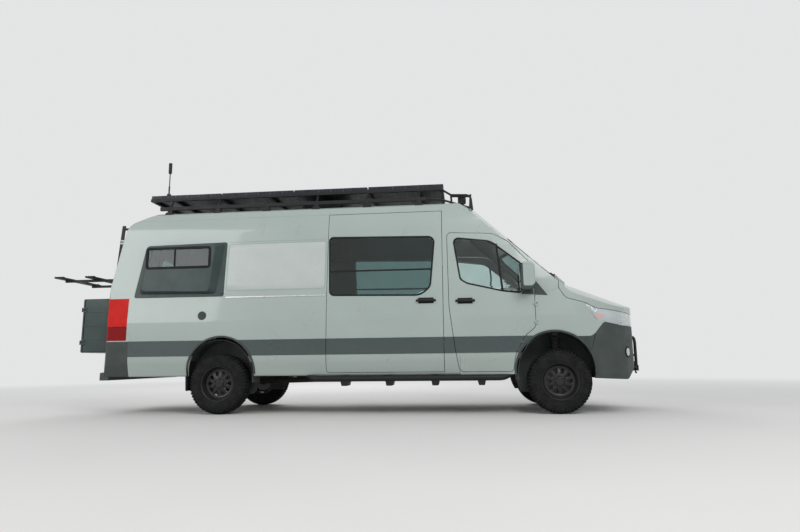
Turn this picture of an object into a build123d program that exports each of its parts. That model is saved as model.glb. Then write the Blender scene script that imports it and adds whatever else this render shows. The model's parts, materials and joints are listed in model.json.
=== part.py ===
from build123d import *
import math
import os

# Camper van on a high-roofed panel van body. Lengths are millimetres. The van is laid out from
# the middle of its front axle on the ground, with X forward, Y to the left and Z up, and every
# piece is moved by SHIFT at the end, so that the whole stands over the middle of its length.

# Wheels
WHEELBASE = 4325
TRACK = 1710
TYRE_RADIUS = 387.5
TYRE_WIDTH = 245
TREAD_HALF = 88
TYRE_CLEARANCE = 12
RIM_RADIUS = 203
STEER_OFFSET = 155
STEER_PIVOT_Y = TRACK / 2 - STEER_OFFSET
SPINDLE_TIP = TRACK / 2 - 55
REAR_AXLE_X = -WHEELBASE

# Body shell
HALF_WIDTH = 1008
SILL = 480
ROOF_TOP = 2775
REAR_FACE = -5900
NOSE = 1042
WALL = 45
SEAM = 6
FIT = 0.3
CAB_AXIS_X = -2400
ROOF_SEAM = 2601
CAB_SEAM_X = -1395
STRIPE_LOW = 745
STRIPE_HIGH = 945
STRIPE_PROUD = 8
GLASS_DEPTH = 4
GLASS_THICKNESS = 6

# Floor and chassis
FLOOR_BOTTOM = 660
FLOOR_TOP = 740
RAIL_LOW = 500
RAIL_INNER = 400
RAIL_OUTER = 460

# Roof load
RAIL_Y = 750
DECK_Y = 680
DECK_LOW = 2930
DECK_THICKNESS = 40
PANEL_LOW = DECK_LOW + DECK_THICKNESS
PANEL_TOP = PANEL_LOW + 45
DECK_REAR = -5535
DECK_FRONT = -1373
ANTENNA_TOP = 3520

# Overall reach, front to rear
FRONT_REACH = 1090
REAR_REACH = 6740
SHIFT = (REAR_REACH - FRONT_REACH) / 2
SIDE = 1300


def inset_outline(points, amount):
    """Closed outline of (u, v, corner radius), moved inwards by amount."""
    count = len(points)
    area = 0
    for i in range(count):
        u, v, _ = points[i]
        next_u, next_v, _ = points[(i + 1) % count]
        area += u * next_v - next_u * v
    turn = 1 if area > 0 else -1
    moved = []
    for i in range(count):
        before, here, after = points[i - 1], points[i], points[(i + 1) % count]
        inward = Vector(here[0] - before[0], here[1] - before[1]).normalized()
        onward = Vector(after[0] - here[0], after[1] - here[1]).normalized()
        normal_in = Vector(-inward.Y, inward.X) * turn
        normal_on = Vector(-onward.Y, onward.X) * turn
        reach = amount / (1 + normal_in.dot(normal_on))
        corner = Vector(here[0], here[1]) + (normal_in + normal_on) * reach
        convex = (inward.X * onward.Y - inward.Y * onward.X) * turn > 0
        radius = here[2] - amount if convex else here[2] + amount
        if here[2] == 0:
            radius = 0
        moved.append((corner.X, corner.Y, max(0, radius)))
    return moved


def place(plane, u, v, w):
    """Point of a named plane: u and v in it, w along its normal."""
    return {"xz": (u, w, v), "yz": (w, u, v), "xy": (u, v, w)}[plane]


def outline_face(plane, points, w):
    """Face from a closed outline whose corners are rounded by arcs."""
    count = len(points)
    ends = []
    for i in range(count):
        corner = Vector(points[i][0], points[i][1])
        radius = points[i][2]
        back = (Vector(*points[i - 1][:2]) - corner).normalized()
        ahead = (Vector(*points[(i + 1) % count][:2]) - corner).normalized()
        if radius <= 0:
            ends.append((corner, None, corner))
            continue
        half = math.acos(max(-1, min(1, back.dot(ahead)))) / 2
        run = radius / math.tan(half)
        middle = corner + (back + ahead).normalized() * (radius / math.sin(half) - radius)
        ends.append((corner + back * run, middle, corner + ahead * run))
    edges = []
    for i in range(count):
        start, middle, end = ends[i]
        if middle is not None:
            edges.append(ThreePointArc(*(place(plane, p.X, p.Y, w) for p in (start, middle, end))))
        following = ends[(i + 1) % count][0]
        if (following - end).length > 1e-6:
            edges.append(Line(place(plane, end.X, end.Y, w), place(plane, following.X, following.Y, w)))
    return Face(Wire(edges))


NORMAL = {"xz": (0, 1, 0), "yz": (1, 0, 0), "xy": (0, 0, 1)}


def prism(plane, points, low, high):
    """Outline of a named plane, carried along its normal from low to high."""
    return extrude(outline_face(plane, points, low), amount=high - low, dir=NORMAL[plane])


def block(x0, x1, y0, y1, z0, z1):
    """Box between pairs of coordinates."""
    return Pos((x0 + x1) / 2, (y0 + y1) / 2, (z0 + z1) / 2) * Box(abs(x1 - x0), abs(y1 - y0), abs(z1 - z0))


def rod(start, end, radius):
    """Round bar between two points."""
    line = Vector(*end) - Vector(*start)
    return Solid.make_cylinder(radius, line.length, Plane(origin=start, z_dir=line))


def tube(points, radius, bend):
    """Round bar along straight runs; each corner is a bend of three mitred cuts inside the bend radius."""
    path = FilletPolyline(*points, radius=bend)
    ends = [Vector(*points[0])]
    for corner in path.edges().filter_by(GeomType.CIRCLE):
        steps = [corner.position_at(t) for t in (0, 0.5, 1)]
        if (steps[0] - ends[-1]).length > (steps[-1] - ends[-1]).length:
            steps.reverse()
        ends += steps
    ends.append(Vector(*points[-1]))
    bar = None
    for i in range(len(ends) - 1):
        start, end = ends[i], ends[i + 1]
        along = (end - start).normalized()
        before = (start - ends[i - 1]).normalized() if i > 0 else along
        after = (ends[i + 2] - end).normalized() if i + 2 < len(ends) else along
        first = start - along * (radius if i > 0 else 0)
        last = end + along * (radius if i + 2 < len(ends) else 0)
        run = rod(tuple(first), tuple(last), radius)
        if i > 0:
            run = split(run, Plane(origin=start, z_dir=before + along), keep=Keep.TOP)
        if i + 2 < len(ends):
            run = split(run, Plane(origin=end, z_dir=along + after), keep=Keep.BOTTOM)
        bar = run if bar is None else bar + run
    return bar


def pair(shape):
    """A left piece with its mirror image on the right."""
    return shape + mirror(shape, about=Plane.XZ)


def on_side(plane_outline, side):
    """Prism that cuts one side of the body only."""
    return prism("xz", plane_outline, *sorted((0, side * SIDE)))


# Outer form: half cross-section (y, z, corner radius), side profiles (x, z, radius), plan (x, y, radius)
def section_outline(bottom):
    half = [
        (950, bottom, 30),
        (1003, 690, 500),
        (HALF_WIDTH, 1190, 600),
        (985, 1600, 3000),
        (905, 2450, 700),
        (815, ROOF_TOP - 53, 120),
        (0, ROOF_TOP, 6000),
    ]
    return half + [(-y, z, r) for y, z, r in reversed(half) if y > 0]


REAR_LEAN = 175 / 1080
TAIL_PROFILE = [
    (REAR_FACE, 100, 0),
    (REAR_FACE, 1480, 2500),
    (REAR_FACE + REAR_LEAN * 1080, 2560, 180),
    (REAR_FACE + 750, ROOF_TOP + 25, 900),
    (NOSE + 300, ROOF_TOP + 25, 0),
    (NOSE + 300, 100, 0),
]
NOSE_PROFILE = [
    (-1200, SILL, 0),
    (300, SILL, 0),
    (420, 425, 0),
    (850, 405, 60),
    (NOSE - 7, 600, 120),
    (NOSE, 960, 300),
    (NOSE - 57, 1290, 110),
    (800, 1428, 300),
    (100, 1716, 0),
    (-1200, 2249, 0),
]
PLAN = [
    (REAR_FACE - 30, -HALF_WIDTH - 2, 150),
    (180, -HALF_WIDTH - 4, 900),
    (760, -930, 420),
    (NOSE - 42, -560, 450),
    (NOSE - 2, 0, 2600),
    (NOSE - 42, 560, 450),
    (760, 930, 420),
    (180, HALF_WIDTH + 4, 900),
    (REAR_FACE - 30, HALF_WIDTH + 2, 150),
]
HOOD_SLOPE = math.radians(21.8)
HOOD_CROWN = 2500


def cab_dome(depth):
    """Windshield and forehead, turned about a vertical axis behind the seats."""
    profile = [
        (CAB_AXIS_X, 100, 0),
        (560, 100, 0),
        (560, 1290, 0),
        (-985, ROOF_TOP + 1, 500),
        (CAB_AXIS_X, ROOF_TOP + 1, 0),
    ]
    inner = inset_outline(profile, depth)
    inner[0] = (CAB_AXIS_X, 100 + depth, 0)
    inner[-1] = (CAB_AXIS_X, ROOF_TOP + 1 - depth, 0)
    axis = Axis((CAB_AXIS_X, 0, 0), (0, 0, 1))
    face = outline_face("xz", inner, 0).rotate(axis, -55)
    return revolve(face, axis, 110)


def hood_crown(depth):
    """Space under the crowned hood top: an arc across, carried down its slope."""
    start_x = -1200
    half = 1150
    top = 1716 - depth / math.cos(HOOD_SLOPE) + (100 - start_x) * math.tan(HOOD_SLOPE)
    edge = top - HOOD_CROWN + math.sqrt(HOOD_CROWN ** 2 - half ** 2)
    low = -800
    edges = [
        Line((start_x, -half, low), (start_x, half, low)),
        Line((start_x, half, low), (start_x, half, edge)),
        ThreePointArc((start_x, half, edge), (start_x, 0, top), (start_x, -half, edge)),
        Line((start_x, -half, edge), (start_x, -half, low)),
    ]
    along = (math.cos(HOOD_SLOPE), 0, -math.sin(HOOD_SLOPE))
    return extrude(Face(Wire(edges)), amount=2800, dir=along)


def body_form(depth, bottom):
    """The van's closed form, moved inwards by depth, down to the level given."""
    span = prism("yz", inset_outline(section_outline(bottom), depth), REAR_FACE - 300, NOSE + 300)
    upper = span & prism("xz", inset_outline(TAIL_PROFILE, depth), -SIDE, SIDE)
    cargo = upper & block(REAR_FACE - 300, -1600, -SIDE, SIDE, 0, ROOF_TOP + 100)
    cab = upper & cab_dome(depth)
    low_span = inset_outline(section_outline(min(bottom, 380)), depth)
    nose = prism("yz", low_span, -1200, NOSE + 300)
    nose = nose & prism("xz", inset_outline(NOSE_PROFILE, depth), -SIDE, SIDE) & hood_crown(depth)
    plan = prism("xy", inset_outline(PLAN, depth), 100, ROOF_TOP + 100)
    return (cargo + cab + nose) & plan


# Outlines cut into the sides (x, z, corner radius)
FRONT_DOOR = [
    (-1333, 2287, 50),
    (-748, 2256, 260),
    (-557, 2140, 300),
    (-310, 1862, 80),
    (-264, 1752, 60),
    (-266, 1057, 80),
    (-410, 935, 120),
    (-530, 704, 200),
    (-556, 515, 40),
    (-1207, 515, 70),
    (-1257, 792, 900),
    (-1322, 1320, 1500),
]
FRONT_WINDOW = [
    (-1250, 2211, 50),
    (-775, 2150, 200),
    (-400, 1830, 60),
    (-330, 1700, 30),
    (-440, 1487, 30),
    (-654, 1513, 600),
    (-1090, 1622, 200),
    (-1168, 1675, 60),
]
SLIDING_DOOR = [
    (-2892, 518, 40),
    (CAB_SEAM_X - SEAM, 518, 0),
    (CAB_SEAM_X - SEAM, ROOF_SEAM - SEAM, 0),
    (-2892, ROOF_SEAM - SEAM, 0),
]
SIDE_WINDOW = [
    (-2868, 2264, 40),
    (-1504, 2234, 70),
    (-1566, 1589, 110),
    (-1693, 1484, 200),
    (-2845, 1507, 50),
]
FLARE_OUTER = [(-5521, 1520, 30), (-5416, 2237, 60), (-4276, 2257, 30), (-4280, 1517, 30)]
FLARE_INNER = [(-5403, 1602, 60), (-5291, 2210, 60), (-4383, 2209, 50), (-4455, 1579, 60)]
FLARE_WINDOW = [(-5332, 1907, 30), (-5332, 2170, 30), (-4458, 2170, 30), (-4458, 1907, 30)]
HOOD_LINE = [(33, 1525, 60), (105, 1403, 120), (347, 1334, 200), (464, 1269, 100), (707, 1235, 100), (970, 1200, 0),
             (1400, 1200, 0)]
FRONT_END = [(-600, 300, 0), (-600, 1000, 0), (-262, 1430, 0)] + HOOD_LINE + [(1400, 300, 0)]
HOOD_ZONE = HOOD_LINE + [(1400, 2000, 0), (33, 2000, 0)]
COWL_RADIUS = 2615
LAMP = [(350, 1290, 0), (470, 1120, 60), (790, 1060, 0), (1400, 1045, 0), (1400, 1300, 0), (350, 1400, 0)]
BUMPER = [
    (150, 300, 0),
    (150, 929, 0),
    (390, 931, 20),
    (435, 957, 20),
    (547, 1088, 20),
    (600, 1110, 0),
    (1400, 1110, 0),
    (1400, 300, 0),
]
LAMP_INNER_Y = 480
GRILLE_LOW = 945
GRILLE_HIGH = 1210
DOOR_HALF = 800
DOOR_MEETING = 12
REAR_DOOR = [
    (DOOR_MEETING, 620, 8),
    (DOOR_HALF, 620, 60),
    (DOOR_HALF, ROOF_SEAM - SEAM, 60),
    (DOOR_MEETING, ROOF_SEAM - SEAM, 8),
]
REAR_OPENING = [
    (-DOOR_HALF - SEAM, 614, 66),
    (DOOR_HALF + SEAM, 614, 66),
    (DOOR_HALF + SEAM, ROOF_SEAM, 66),
    (-DOOR_HALF - SEAM, ROOF_SEAM, 66),
]
REAR_WINDOW = [(110, 1560, 60), (690, 1560, 60), (660, 2240, 60), (110, 2240, 60)]
WINDSHIELD = [(-855, 1698, 90), (-765, 2225, 110), (765, 2225, 110), (855, 1698, 90), (0, 1692, 2000)]
LAMP_LOW = 955
LAMP_HIGH = 1513

outer = body_form(0, SILL)
band = body_form(-STRIPE_PROUD, SILL)
stripe = band & block(REAR_FACE + 344, 180, -SIDE, SIDE, STRIPE_LOW, STRIPE_HIGH)
stripe -= block(REAR_FACE, 300, -850, 850, 0, ROOF_TOP)
cavity = body_form(WALL, 200)
shell = (outer + stripe) - cavity
under_glass = body_form(GLASS_DEPTH + GLASS_THICKNESS, SILL)
glazing = body_form(GLASS_DEPTH, SILL) - under_glass
floor_space = body_form(WALL + FIT, 200)
room = body_form(WALL + SEAM, 200)
seat_form = body_form(-FIT, SILL)

# Wheel arches (x, z, radius) as openings with straight sides below their centres
FRONT_ARCH = (-50, 520, 470)
REAR_ARCH = (REAR_AXLE_X + 35, 540, 440)


def arch_tunnel(arch, low_y, high_y, growth):
    """Round-topped tunnel across the van, larger all round by growth."""
    x, z, radius = arch
    radius += growth
    top = rod((x, low_y, z), (x, high_y, z), radius)
    return top + block(x - radius, x + radius, low_y, high_y, 0, z)


for arch in (FRONT_ARCH, REAR_ARCH):
    for low_y, high_y in ((-SIDE, -560), (560, SIDE)):
        shell -= arch_tunnel(arch, low_y, high_y, 0)

pieces = {}
BIG = ROOF_TOP + 200

# Front end: hood, lamps, grille, bumper and fenders
cowl = rod((CAB_AXIS_X, 0, 900), (CAB_AXIS_X, 0, BIG), COWL_RADIUS)
hood_zone = prism("xz", inset_outline(HOOD_ZONE, 0), -SIDE, SIDE)
pieces["hood"] = shell & (prism("xz", inset_outline(HOOD_ZONE, SEAM), -SIDE, SIDE) - cowl)
front_end = shell & prism("xz", FRONT_END, -SIDE, SIDE)
cab_space = block(CAB_SEAM_X, NOSE + 100, -SIDE, SIDE, 0, BIG) - prism("xz", FRONT_END, -SIDE, SIDE)
cab_space -= hood_zone - rod((CAB_AXIS_X, 0, 900), (CAB_AXIS_X, 0, BIG), COWL_RADIUS - SEAM)
cab = shell & cab_space
for side in (-1, 1):
    opening = on_side(inset_outline(FRONT_DOOR, -SEAM), side)
    cab -= opening
    front_end -= opening
cab -= prism("yz", WINDSHIELD, -1100, 600)
pieces["windshield"] = glazing & prism("yz", inset_outline(WINDSHIELD, FIT), -1100, 600)
pieces["cab_frame"] = cab
lamp_zone = pair(prism("xz", LAMP, LAMP_INNER_Y, SIDE))
grille_zone = block(850, NOSE + 200, -LAMP_INNER_Y, LAMP_INNER_Y, GRILLE_LOW, GRILLE_HIGH)
pieces["headlamps"] = front_end & lamp_zone
front_end -= lamp_zone
grille = front_end & grille_zone
front_end -= grille_zone
GRILLE_SLOTS = 3
for row in range(GRILLE_SLOTS):
    low = GRILLE_LOW + 45 + row * 64
    grille -= block(800, NOSE + 200, 35 - LAMP_INNER_Y, LAMP_INNER_Y - 35, low, low + 36)
pieces["radiator_grille"] = grille
bumper_zone = prism("xz", BUMPER, -SIDE, SIDE)
bumper = front_end & bumper_zone
INTAKE = [(-430, 560, 30), (430, 560, 30), (470, 690, 30), (-470, 690, 30)]
bumper -= prism("yz", INTAKE, NOSE - 200, NOSE + 200)
TYRE_SWEEP = math.hypot(TYRE_RADIUS, STEER_OFFSET + TREAD_HALF) + TYRE_CLEARANCE
bumper -= pair(rod((0, STEER_PIVOT_Y, 0), (0, STEER_PIVOT_Y, 900), TYRE_SWEEP))
pieces["front_bumper"] = bumper
fenders = front_end - bumper_zone

# Sides, roof and rear
side_space = block(REAR_FACE - 100, CAB_SEAM_X, -SIDE, SIDE, 0, ROOF_SEAM)
sides = shell & side_space
pieces["roof_panel"] = shell & block(REAR_FACE - 100, CAB_SEAM_X, -SIDE, SIDE, ROOF_SEAM, BIG)
rear_opening = prism("yz", REAR_OPENING, REAR_FACE - 100, REAR_FACE + 260)
sill_zone = block(REAR_FACE - 100, REAR_FACE + 150, -DOOR_HALF - SEAM, DOOR_HALF + SEAM, 0, 614 + 66)
corner_zone = pair(block(REAR_FACE - 100, REAR_FACE + 344, DOOR_HALF + SEAM, SIDE, 0, 942))
tail_zone = pair(block(REAR_FACE - 100, REAR_FACE + 310, DOOR_HALF + 70, SIDE, LAMP_LOW, LAMP_HIGH))
rear_sill = (sides - rear_opening) & sill_zone
pieces["tail_lamps"] = sides & tail_zone
corners = sides & corner_zone
sides -= rear_opening
sides -= tail_zone
sides -= corner_zone
sides -= sill_zone
STEP_REAR = REAR_FACE - 60
step = block(STEP_REAR, REAR_FACE + 60, -950, 950, 440, 540)
step += pair(block(REAR_FACE + 20, REAR_FACE + 200, RAIL_INNER, RAIL_OUTER, RAIL_LOW, 540))
pieces["rear_bumper"] = corners + rear_sill + step
right_wall = sides & block(REAR_FACE - 100, 0, -SIDE, 0, 0, BIG)
left_wall = sides & block(REAR_FACE - 100, 0, 0, SIDE, 0, BIG)
flare_hole = inset_outline(FLARE_INNER, 25)
right_wall -= on_side(flare_hole, -1)
left_wall -= on_side(flare_hole, 1)
right_wall -= on_side(inset_outline(SLIDING_DOOR, -SEAM), -1)
left_wall -= on_side(SIDE_WINDOW, 1)
rail_strip = (band - under_glass) & block(-4270, -2902, -SIDE, 0, 1510, 1560)
pieces["side_wall_right"] = right_wall + rail_strip
pieces["side_wall_left"] = left_wall
sliding = shell & on_side(SLIDING_DOOR, -1)
pieces["sliding_door"] = sliding - on_side(SIDE_WINDOW, -1)
side_panes = glazing & on_side(inset_outline(SIDE_WINDOW, FIT), -1)
side_panes += glazing & on_side(inset_outline(SIDE_WINDOW, FIT), 1)

# Bunk flares: chamfered pods with a flange, hollow towards the bed
FLARE_OUT = 1060
flare_face = outline_face("xz", FLARE_INNER, FLARE_OUT)
flare_root = outline_face("xz", inset_outline(FLARE_OUTER, 8), 900)
pod = loft([flare_root, flare_face])
flange = (band - seat_form) & prism("xz", FLARE_OUTER, 0, SIDE)
pod = (pod + flange) - seat_form
pod -= prism("xz", inset_outline(FLARE_INNER, 25), 800, FLARE_OUT - 25)
pod -= prism("xz", FLARE_WINDOW, 900, FLARE_OUT + 10)
pieces["bunk_flares"] = pair(pod)
pane = prism("xz", inset_outline(FLARE_WINDOW, FIT), FLARE_OUT - 12, FLARE_OUT - 6)
side_panes += pair(pane)
pieces["side_glass"] = side_panes

# Hinges that show: fixed knuckles with a pin, and one moving knuckle
HINGE_RADIUS = 7
PIN_RADIUS = 3.5
PIN_FIT = 0.3


def upright_hinge(x, y, z, leaf_x, leaf_y):
    """Fixed and moving halves of an upright hinge; leaf_x and leaf_y point from pin to body and door leaf."""
    half = 30
    knuckle = 10
    fixed = rod((x, y, z - half), (x, y, z - knuckle), HINGE_RADIUS)
    fixed += rod((x, y, z + knuckle), (x, y, z + half), HINGE_RADIUS)
    fixed += rod((x, y, z - half), (x, y, z + half), PIN_RADIUS)
    for low, high in ((z - half, z - knuckle), (z + knuckle, z + half)):
        fixed += block(min(x, leaf_x[0]), max(x, leaf_x[0]), min(y, leaf_x[1]), max(y, leaf_x[1]), low, high)
    low, high = z - knuckle + PIN_FIT, z + knuckle - PIN_FIT
    moving = rod((x, y, low), (x, y, high), HINGE_RADIUS)
    moving += block(min(x, leaf_y[0]), max(x, leaf_y[0]), min(y, leaf_y[1]), max(y, leaf_y[1]), low, high)
    moving -= rod((x, y, low - 1), (x, y, high + 1), PIN_RADIUS + PIN_FIT)
    return fixed, moving


# Front doors, with glass, mirrors and hinges
DOOR_AXIS_X = -262
DOOR_AXIS_Y = 1016
HINGE_LEVELS = (1110, 1340)
for side, name in ((-1, "right"), (1, "left")):
    door = shell & on_side(FRONT_DOOR, side)
    door -= on_side(FRONT_WINDOW, side)
    for z in HINGE_LEVELS:
        fixed, moving = upright_hinge(DOOR_AXIS_X, DOOR_AXIS_Y, z, (DOOR_AXIS_X + 30, 990), (DOOR_AXIS_X - 30, 990))
        if side < 0:
            fixed, moving = mirror(fixed, about=Plane.XZ), mirror(moving, about=Plane.XZ)
        fenders += fixed
        door += moving
    pieces["front_door_" + name] = door
    pieces["front_glass_" + name] = glazing & on_side(inset_outline(FRONT_WINDOW, FIT), side)
    head = prism("xz", [(-443, 1500, 30), (-272, 1500, 40), (-272, 1837, 50), (-430, 1837, 50)], 1060, 1170)
    arm = block(-400, -300, 960, 1075, 1530, 1565)
    mirror_piece = (head + arm) - seat_form
    pieces["mirror_" + name] = mirror_piece if side > 0 else mirror(mirror_piece, about=Plane.XZ)
pieces["front_fenders"] = fenders

# Rear doors, hinged outside the corner posts about axes that lean forward with the rear face
REAR_AXIS_X = REAR_FACE - 12
REAR_AXIS_Z = 1480
REAR_AXIS_LEAN = 3
REAR_AXIS_Y = DOOR_HALF + SEAM / 2
REAR_HINGE_LEVELS = (1010, 1430, 2330)
for side, name in ((-1, "right"), (1, "left")):
    outline = [(side * y, z, r) for y, z, r in REAR_DOOR]
    window = [(side * y, z, r) for y, z, r in REAR_WINDOW]
    door = shell & prism("yz", outline, REAR_FACE - 100, REAR_FACE + 260)
    door -= prism("yz", window, REAR_FACE - 100, REAR_FACE + 260)
    pane = glazing & prism("yz", inset_outline(window, FIT), REAR_FACE - 100, REAR_FACE + 260)
    for z in REAR_HINGE_LEVELS:
        x = REAR_AXIS_X + (z - REAR_AXIS_Z) * math.tan(math.radians(REAR_AXIS_LEAN))
        skin_x = REAR_FACE + max(0, z - REAR_AXIS_Z) * REAR_LEAN
        fixed, moving = upright_hinge(x, REAR_AXIS_Y, z, (skin_x + 30, REAR_AXIS_Y + 30), (skin_x + 20, REAR_AXIS_Y - 30))
        leaning = Axis((x, REAR_AXIS_Y, z), (0, 1, 0))
        fixed, moving = fixed.rotate(leaning, REAR_AXIS_LEAN), moving.rotate(leaning, REAR_AXIS_LEAN)
        if side < 0:
            fixed, moving = mirror(fixed, about=Plane.XZ), mirror(moving, about=Plane.XZ)
        door += moving
        pieces["side_wall_" + name] += fixed
    pieces["rear_door_" + name] = door
    pieces["rear_glass_" + name] = pane

# Load carrier on the right rear door: two slotted posts, arms, trays, and a box with a lid
POST_X = REAR_FACE - 60
POST_DEPTH = 50
POST_LOW = 810
POST_HIGH = 2580
POST_YS = (-745, -150)
POST_WIDTH = 12
POST_LINE = [(POST_X, POST_LOW), (POST_X, 1560), (POST_X + 80, POST_HIGH)]
post_outline = [(x - POST_DEPTH / 2, z, 0) for x, z in POST_LINE] + [(x + POST_DEPTH / 2, z, 0) for x, z in reversed(POST_LINE)]
carrier = None
SLOT_COUNT = 8
for y in POST_YS:
    post = prism("xz", post_outline, y - POST_WIDTH / 2, y + POST_WIDTH / 2)
    for i in range(SLOT_COUNT):
        low = POST_LOW + 40 + i * 90
        post -= block(POST_X - 10, POST_X + 10, y - 20, y + 20, low, low + 55)
    for z in (880, 1400, 2250, 2530):
        lean = max(0, z - 1560) * 80 / (POST_HIGH - 1560)
        post += block(POST_X + lean, REAR_FACE + 250, y - 14, y + 14, z - 14, z + 14) - seat_form
    carrier = post if carrier is None else carrier + post
TRAY_REAR = -6740
for y in POST_YS:
    carrier += block(TRAY_REAR + 40, POST_X, y - 12, y + 12, 1790, 1825)
for z in (1790, 2250):
    lean = (z - 1560) * 80 / (POST_HIGH - 1560)
    carrier += block(POST_X + lean - 15, POST_X + lean + 15, POST_YS[0], POST_YS[1], z, z + 35)
TRAY_HALF = 50
for x in (-6240, TRAY_REAR + TRAY_HALF):
    tray = block(x - TRAY_HALF, x + TRAY_HALF, -930, -15, 1825, 1850)
    tray -= block(x - 25, x + 25, -931, -14, 1835, 1860)
    carrier += tray
BOX_X = (-6400, POST_X - POST_DEPTH / 2)
BOX_Y = (-750, -105)
BOX_Z = (812, 1553)
BOX_WALL = 8
LID = 22
box = block(*BOX_X, *BOX_Y, *BOX_Z)
box = box.fillet(25, box.edges().filter_by(Axis.X))
lid = box & block(BOX_X[0], BOX_X[0] + LID, -900, 0, 0, 2000)
box -= block(BOX_X[0], BOX_X[0] + LID + SEAM, -900, 0, 0, 2000)
box -= block(BOX_X[0], BOX_X[1] - BOX_WALL, BOX_Y[0] + BOX_WALL, BOX_Y[1] - BOX_WALL, BOX_Z[0] + BOX_WALL, BOX_Z[1] - BOX_WALL)
LID_AXIS_X = BOX_X[0] - 8
LID_AXIS_Y = BOX_Y[0] - 8
for z in (950, 1400):
    fixed = rod((LID_AXIS_X, LID_AXIS_Y, z - 30), (LID_AXIS_X, LID_AXIS_Y, z - 10), HINGE_RADIUS)
    fixed += rod((LID_AXIS_X, LID_AXIS_Y, z + 10), (LID_AXIS_X, LID_AXIS_Y, z + 30), HINGE_RADIUS)
    fixed += rod((LID_AXIS_X, LID_AXIS_Y, z - 30), (LID_AXIS_X, LID_AXIS_Y, z + 30), PIN_RADIUS)
    for low in (z - 30, z + 10):
        fixed += block(LID_AXIS_X, BOX_X[0] + 60, LID_AXIS_Y - 4, LID_AXIS_Y + 2, low, low + 20)
        fixed += block(BOX_X[0] + 32, BOX_X[0] + 60, LID_AXIS_Y, BOX_Y[0] + 2, low, low + 20)
    moving = rod((LID_AXIS_X, LID_AXIS_Y, z - 9.7), (LID_AXIS_X, LID_AXIS_Y, z + 9.7), HINGE_RADIUS)
    moving += block(LID_AXIS_X - 2, LID_AXIS_X + 4, LID_AXIS_Y, BOX_Y[0] + 40, z - 9.7, z + 9.7)
    moving += block(LID_AXIS_X, BOX_X[0] + 2, BOX_Y[0] + 20, BOX_Y[0] + 40, z - 9.7, z + 9.7)
    moving -= rod((LID_AXIS_X, LID_AXIS_Y, z - 11), (LID_AXIS_X, LID_AXIS_Y, z + 11), PIN_RADIUS + PIN_FIT)
    box += fixed
    lid += moving
pieces["door_carrier"] = carrier
pieces["storage_box"] = box
pieces["box_lid"] = lid

# Hood hinges at the cowl corners
HOOD_AXIS_X = 20
HOOD_AXIS_Z = 1688
for side in (-1, 1):
    points = [((HOOD_AXIS_X, side * a, HOOD_AXIS_Z), (HOOD_AXIS_X, side * b, HOOD_AXIS_Z)) for a, b in ((850, 872), (872.3, 900), (900.3, 922))]
    pin = rod((HOOD_AXIS_X, side * 850, HOOD_AXIS_Z), (HOOD_AXIS_X, side * 922, HOOD_AXIS_Z), PIN_RADIUS)
    for start, end in (points[0], points[2]):
        low_y, high_y = sorted((start[1], end[1]))
        pieces["cab_frame"] += rod(start, end, HINGE_RADIUS)
        pieces["cab_frame"] += block(HOOD_AXIS_X - 7, HOOD_AXIS_X + 5, low_y, high_y, 1625, HOOD_AXIS_Z)
    pieces["cab_frame"] += pin
    arm = prism("xz", [(HOOD_AXIS_X - 4, HOOD_AXIS_Z + 7, 0), (HOOD_AXIS_X + 6, HOOD_AXIS_Z + 7, 0), (125, 1605, 0), (125, 1540, 0), (66, 1540, 0)], *sorted((side * 872.3, side * 900)))
    arm -= band & rod((CAB_AXIS_X, 0, 900), (CAB_AXIS_X, 0, BIG), COWL_RADIUS)
    moving = (rod(*points[1], HINGE_RADIUS) + arm) - rod((HOOD_AXIS_X, side * 850, HOOD_AXIS_Z), (HOOD_AXIS_X, side * 922, HOOD_AXIS_Z), PIN_RADIUS + PIN_FIT)
    pieces["hood"] += moving

# Floor with its toe board, housings over the wheels
HOUSING_WALL = 10
FRONT_HOUSING = (0, 500, 500)
REAR_HOUSING = (REAR_AXLE_X, 500, 455)
FRONT_HOUSING_Y = (STEER_PIVOT_Y - 200, 960)
REAR_HOUSING_Y = (STEER_PIVOT_Y - 50, 960)
floor = floor_space & block(REAR_FACE + WALL + SEAM, -70, -SIDE, SIDE, FLOOR_BOTTOM, FLOOR_TOP)
floor += floor_space & block(-110, -70, -SIDE, SIDE, FLOOR_BOTTOM, 1500)
floor -= pair(block(-1345, -250, 940, SIDE, 0, BIG))
housings = {}
for arch, span in ((FRONT_HOUSING, FRONT_HOUSING_Y), (REAR_HOUSING, REAR_HOUSING_Y)):
    x, z, radius = arch
    low_y, high_y = span
    tub = rod((x, low_y - HOUSING_WALL, z), (x, high_y, z), radius) + block(x - radius, x + radius, low_y - HOUSING_WALL, high_y, 400, z)
    floor -= pair(rod((x, low_y - HOUSING_WALL - FIT, z), (x, SIDE, z), radius + FIT) + block(x - radius - FIT, x + radius + FIT, low_y - HOUSING_WALL - FIT, SIDE, 0, z))
    inner = radius - HOUSING_WALL
    tub -= rod((x, low_y, z), (x, SIDE, z), inner) + block(x - inner, x + inner, low_y, SIDE, 0, z)
    tub -= block(x - 160, x + 160, 0, low_y + 1, 0, 640)
    if arch is REAR_HOUSING:
        tub += block(x - radius, x - inner, 700, high_y, 300, 500)
    tub = tub & floor_space
    if arch is FRONT_HOUSING:
        tub += rod((x, STEER_PIVOT_Y, 955), (x, STEER_PIVOT_Y, z + radius - 6), 50)
    housings["rear_wheel_housings" if arch is REAR_HOUSING else "front_wheel_housings"] = pair(tub)
pieces["floor_pan"] = floor
pieces.update(housings)

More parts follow.
